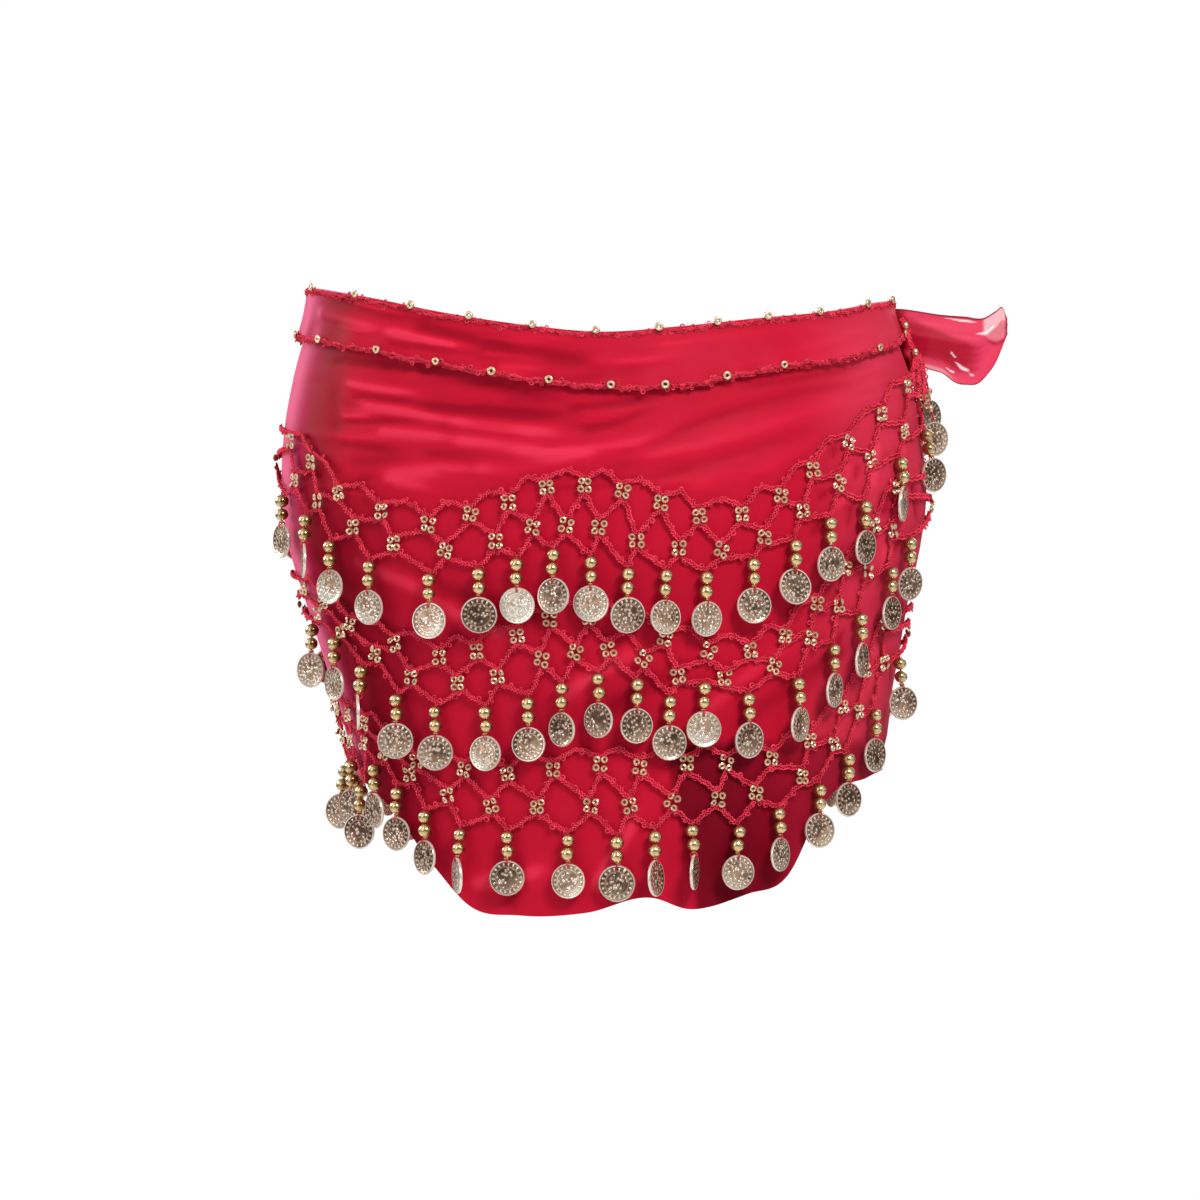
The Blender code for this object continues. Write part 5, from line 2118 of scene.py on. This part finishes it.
@dataclass(frozen=True)
class Studio:
    """Pale floor, soft lights and the camera."""

    picture: float = 1200.0
    metres_per_pixel: float = 0.00055
    distance: float = 2.4
    eye_height: float = -0.160
    floor_height: float = -0.95
    floor_reach: float = 3.0
    floor_corners: int = 64
    lamps: tuple[Softbox, ...] = (
        Softbox("key_softbox", (0.80, -1.7, 1.05), (0.0, 0.0, -0.15), 0.6, 28.0),
        Softbox("fill_softbox", (-1.5, -1.6, 0.2), (0.0, 0.0, -0.15), 1.2, 6.0),
        Softbox("side_softbox", (-1.6, 0.5, 0.5), (-0.1, 0.0, -0.10), 0.9, 14.0),
        Softbox("rear_softbox", (0.6, 1.9, 0.9), (0.0, 0.0, -0.15), 1.4, 16.0),
    )

    def build(self) -> None:
        """Build the floor, world, lights and camera."""
        self.floor()
        self.world()
        for lamp in self.lamps:
            lamp.hang()
        self.camera()

    def floor(self) -> None:
        """Lay a pale round floor at standing height below the hips."""
        turn = even_turns(self.floor_corners)
        ring = np.column_stack([np.cos(turn), np.sin(turn), np.zeros(len(turn))]) * self.floor_reach
        ring[:, 2] = self.floor_height
        mesh = bpy.data.meshes.new("pale_floor")
        mesh.from_pydata(ring.tolist(), [], [tuple(range(len(turn)))])
        made, wires, shader = Finish("pale_floor").start()
        pale, paler = (0.80, 0.80, 0.80, 1.0), (0.86, 0.86, 0.86, 1.0)
        cloud = wires.noise(wires.place(), 3.0, 2.0)
        wires.feed(shader, {"Base Color": wires.blend(cloud, pale, paler), "Roughness": 0.8})
        mesh.materials.append(made)
        floor = new_object("pale_floor", mesh)

    def world(self) -> None:
        """Light the scene from a pale, patchy surround with a dark opening in front; it shows as white."""
        world = bpy.data.worlds.new("studio")
        world.use_nodes = True
        bpy.context.scene.world = world
        wires = Wires(world.node_tree)
        seen = wires.node("LightPath").outputs["Is Camera Ray"]
        place = wires.node("TexCoord").outputs["Generated"]
        x, y, z = wires.parts(place)
        patches = wires.ramp(wires.noise(place, 3.2, 1.0), 0.44, 0.60)
        glow = wires.scaled(wires.ramp(z, -0.5, 0.7), 0.30, 0.06)
        glow = wires.scaled(wires.ramp(y, 0.3, -0.9), 0.45, glow)
        glow = wires.times(glow, wires.scaled(patches, 1.3, 0.35))
        across = wires.times(wires.maths("POWER", x, 2.0), 3.0)
        beside = wires.scaled(wires.maths("POWER", z, 2.0), 9.0, across)
        core = wires.times(wires.ramp(beside, 2.2, 0.9), wires.ramp(y, 0.0, -0.3))
        glow = wires.times(glow, wires.scaled(core, -0.88, 1.0))
        unseen = wires.times(glow, wires.maths("SUBTRACT", 1.0, seen))
        strength = wires.scaled(seen, 1.02, unseen)
        wires.feed(world.node_tree.nodes["Background"], {"Color": (1.0, 1.0, 1.0, 1.0), "Strength": strength})

    def camera(self) -> None:
        """Set the camera level with the middle of the scarf, straight in front."""
        lens = bpy.data.cameras.new("camera")
        lens.sensor_width = 36.0
        lens.lens = lens.sensor_width * self.distance / (self.picture * self.metres_per_pixel)
        lens.clip_end = 50.0
        camera = new_object("camera", lens)
        camera.location = (0.0, -self.distance, self.eye_height)
        camera.rotation_euler = (math.radians(90.0), 0.0, 0.0)
        bpy.context.scene.camera = camera
        bpy.context.scene.view_settings.view_transform = "Standard"


TOP_BEADS = (10.0, 23.5, 38.6, 51.6, 63.3, 76.7, 91.0, 105.4, 119.9, 133.8, 148.8, 167.4)
BAND_BEADS = (5.0, 24.0, 50.5, 63.2, 76.5, 88.1, 101.4, 113.7, 126.0, 140.1, 158.2, 174.0)


def main() -> None:
    """Build the scarf piece by piece."""
    logging.basicConfig(level=logging.INFO, format="%(name)s %(message)s")
    finishes = build_finishes()
    form = HipForm()
    rng = np.random.default_rng(41)
    wrap = ChiffonWrap(finishes, form).build()
    band = TurnedBand(finishes, form).build()
    trimmings = []
    edgings = (
        Edging(finishes, form, "edging_top", "top", 0.0032, -0.0010, 0.0016, 0.0008, TOP_BEADS),
        Edging(finishes, form, "edging_band", "band", 0.0050, 0.0004, 0.0004, 0.0006, BAND_BEADS),
    )
    for edging in edgings:
        trimmings += edging.build(rng)
    tiers = (
        NetTier(finishes, form, "upper", -52, UPPER_COLUMNS, seed=11),
        NetTier(finishes, form, "middle", -108, MIDDLE_COLUMNS, seed=12),
        NetTier(finishes, form, "lower", -176, LOWER_COLUMNS, seed=13),
    )
    for tier in tiers:
        trimmings += tier.build()
    trimmings += KnotEdge(finishes, form).build(rng)
    knot = Knot(finishes, form).build()
    side_tail = SheerTail(finishes, form, "side_tail", "tail_side", (0.1618, -0.0010, -0.0025), (1.0, 0.0),
                          length=0.0622, tuck=0.0100, slant=0.0046).build()
    rear_tail = SheerTail(finishes, form, "rear_tail", "tail_rear", (0.1755, 0.0292, -0.0045),
                          (0.0, 1.0)).build()
    Studio().build()


if __name__ == "__main__":
    main()
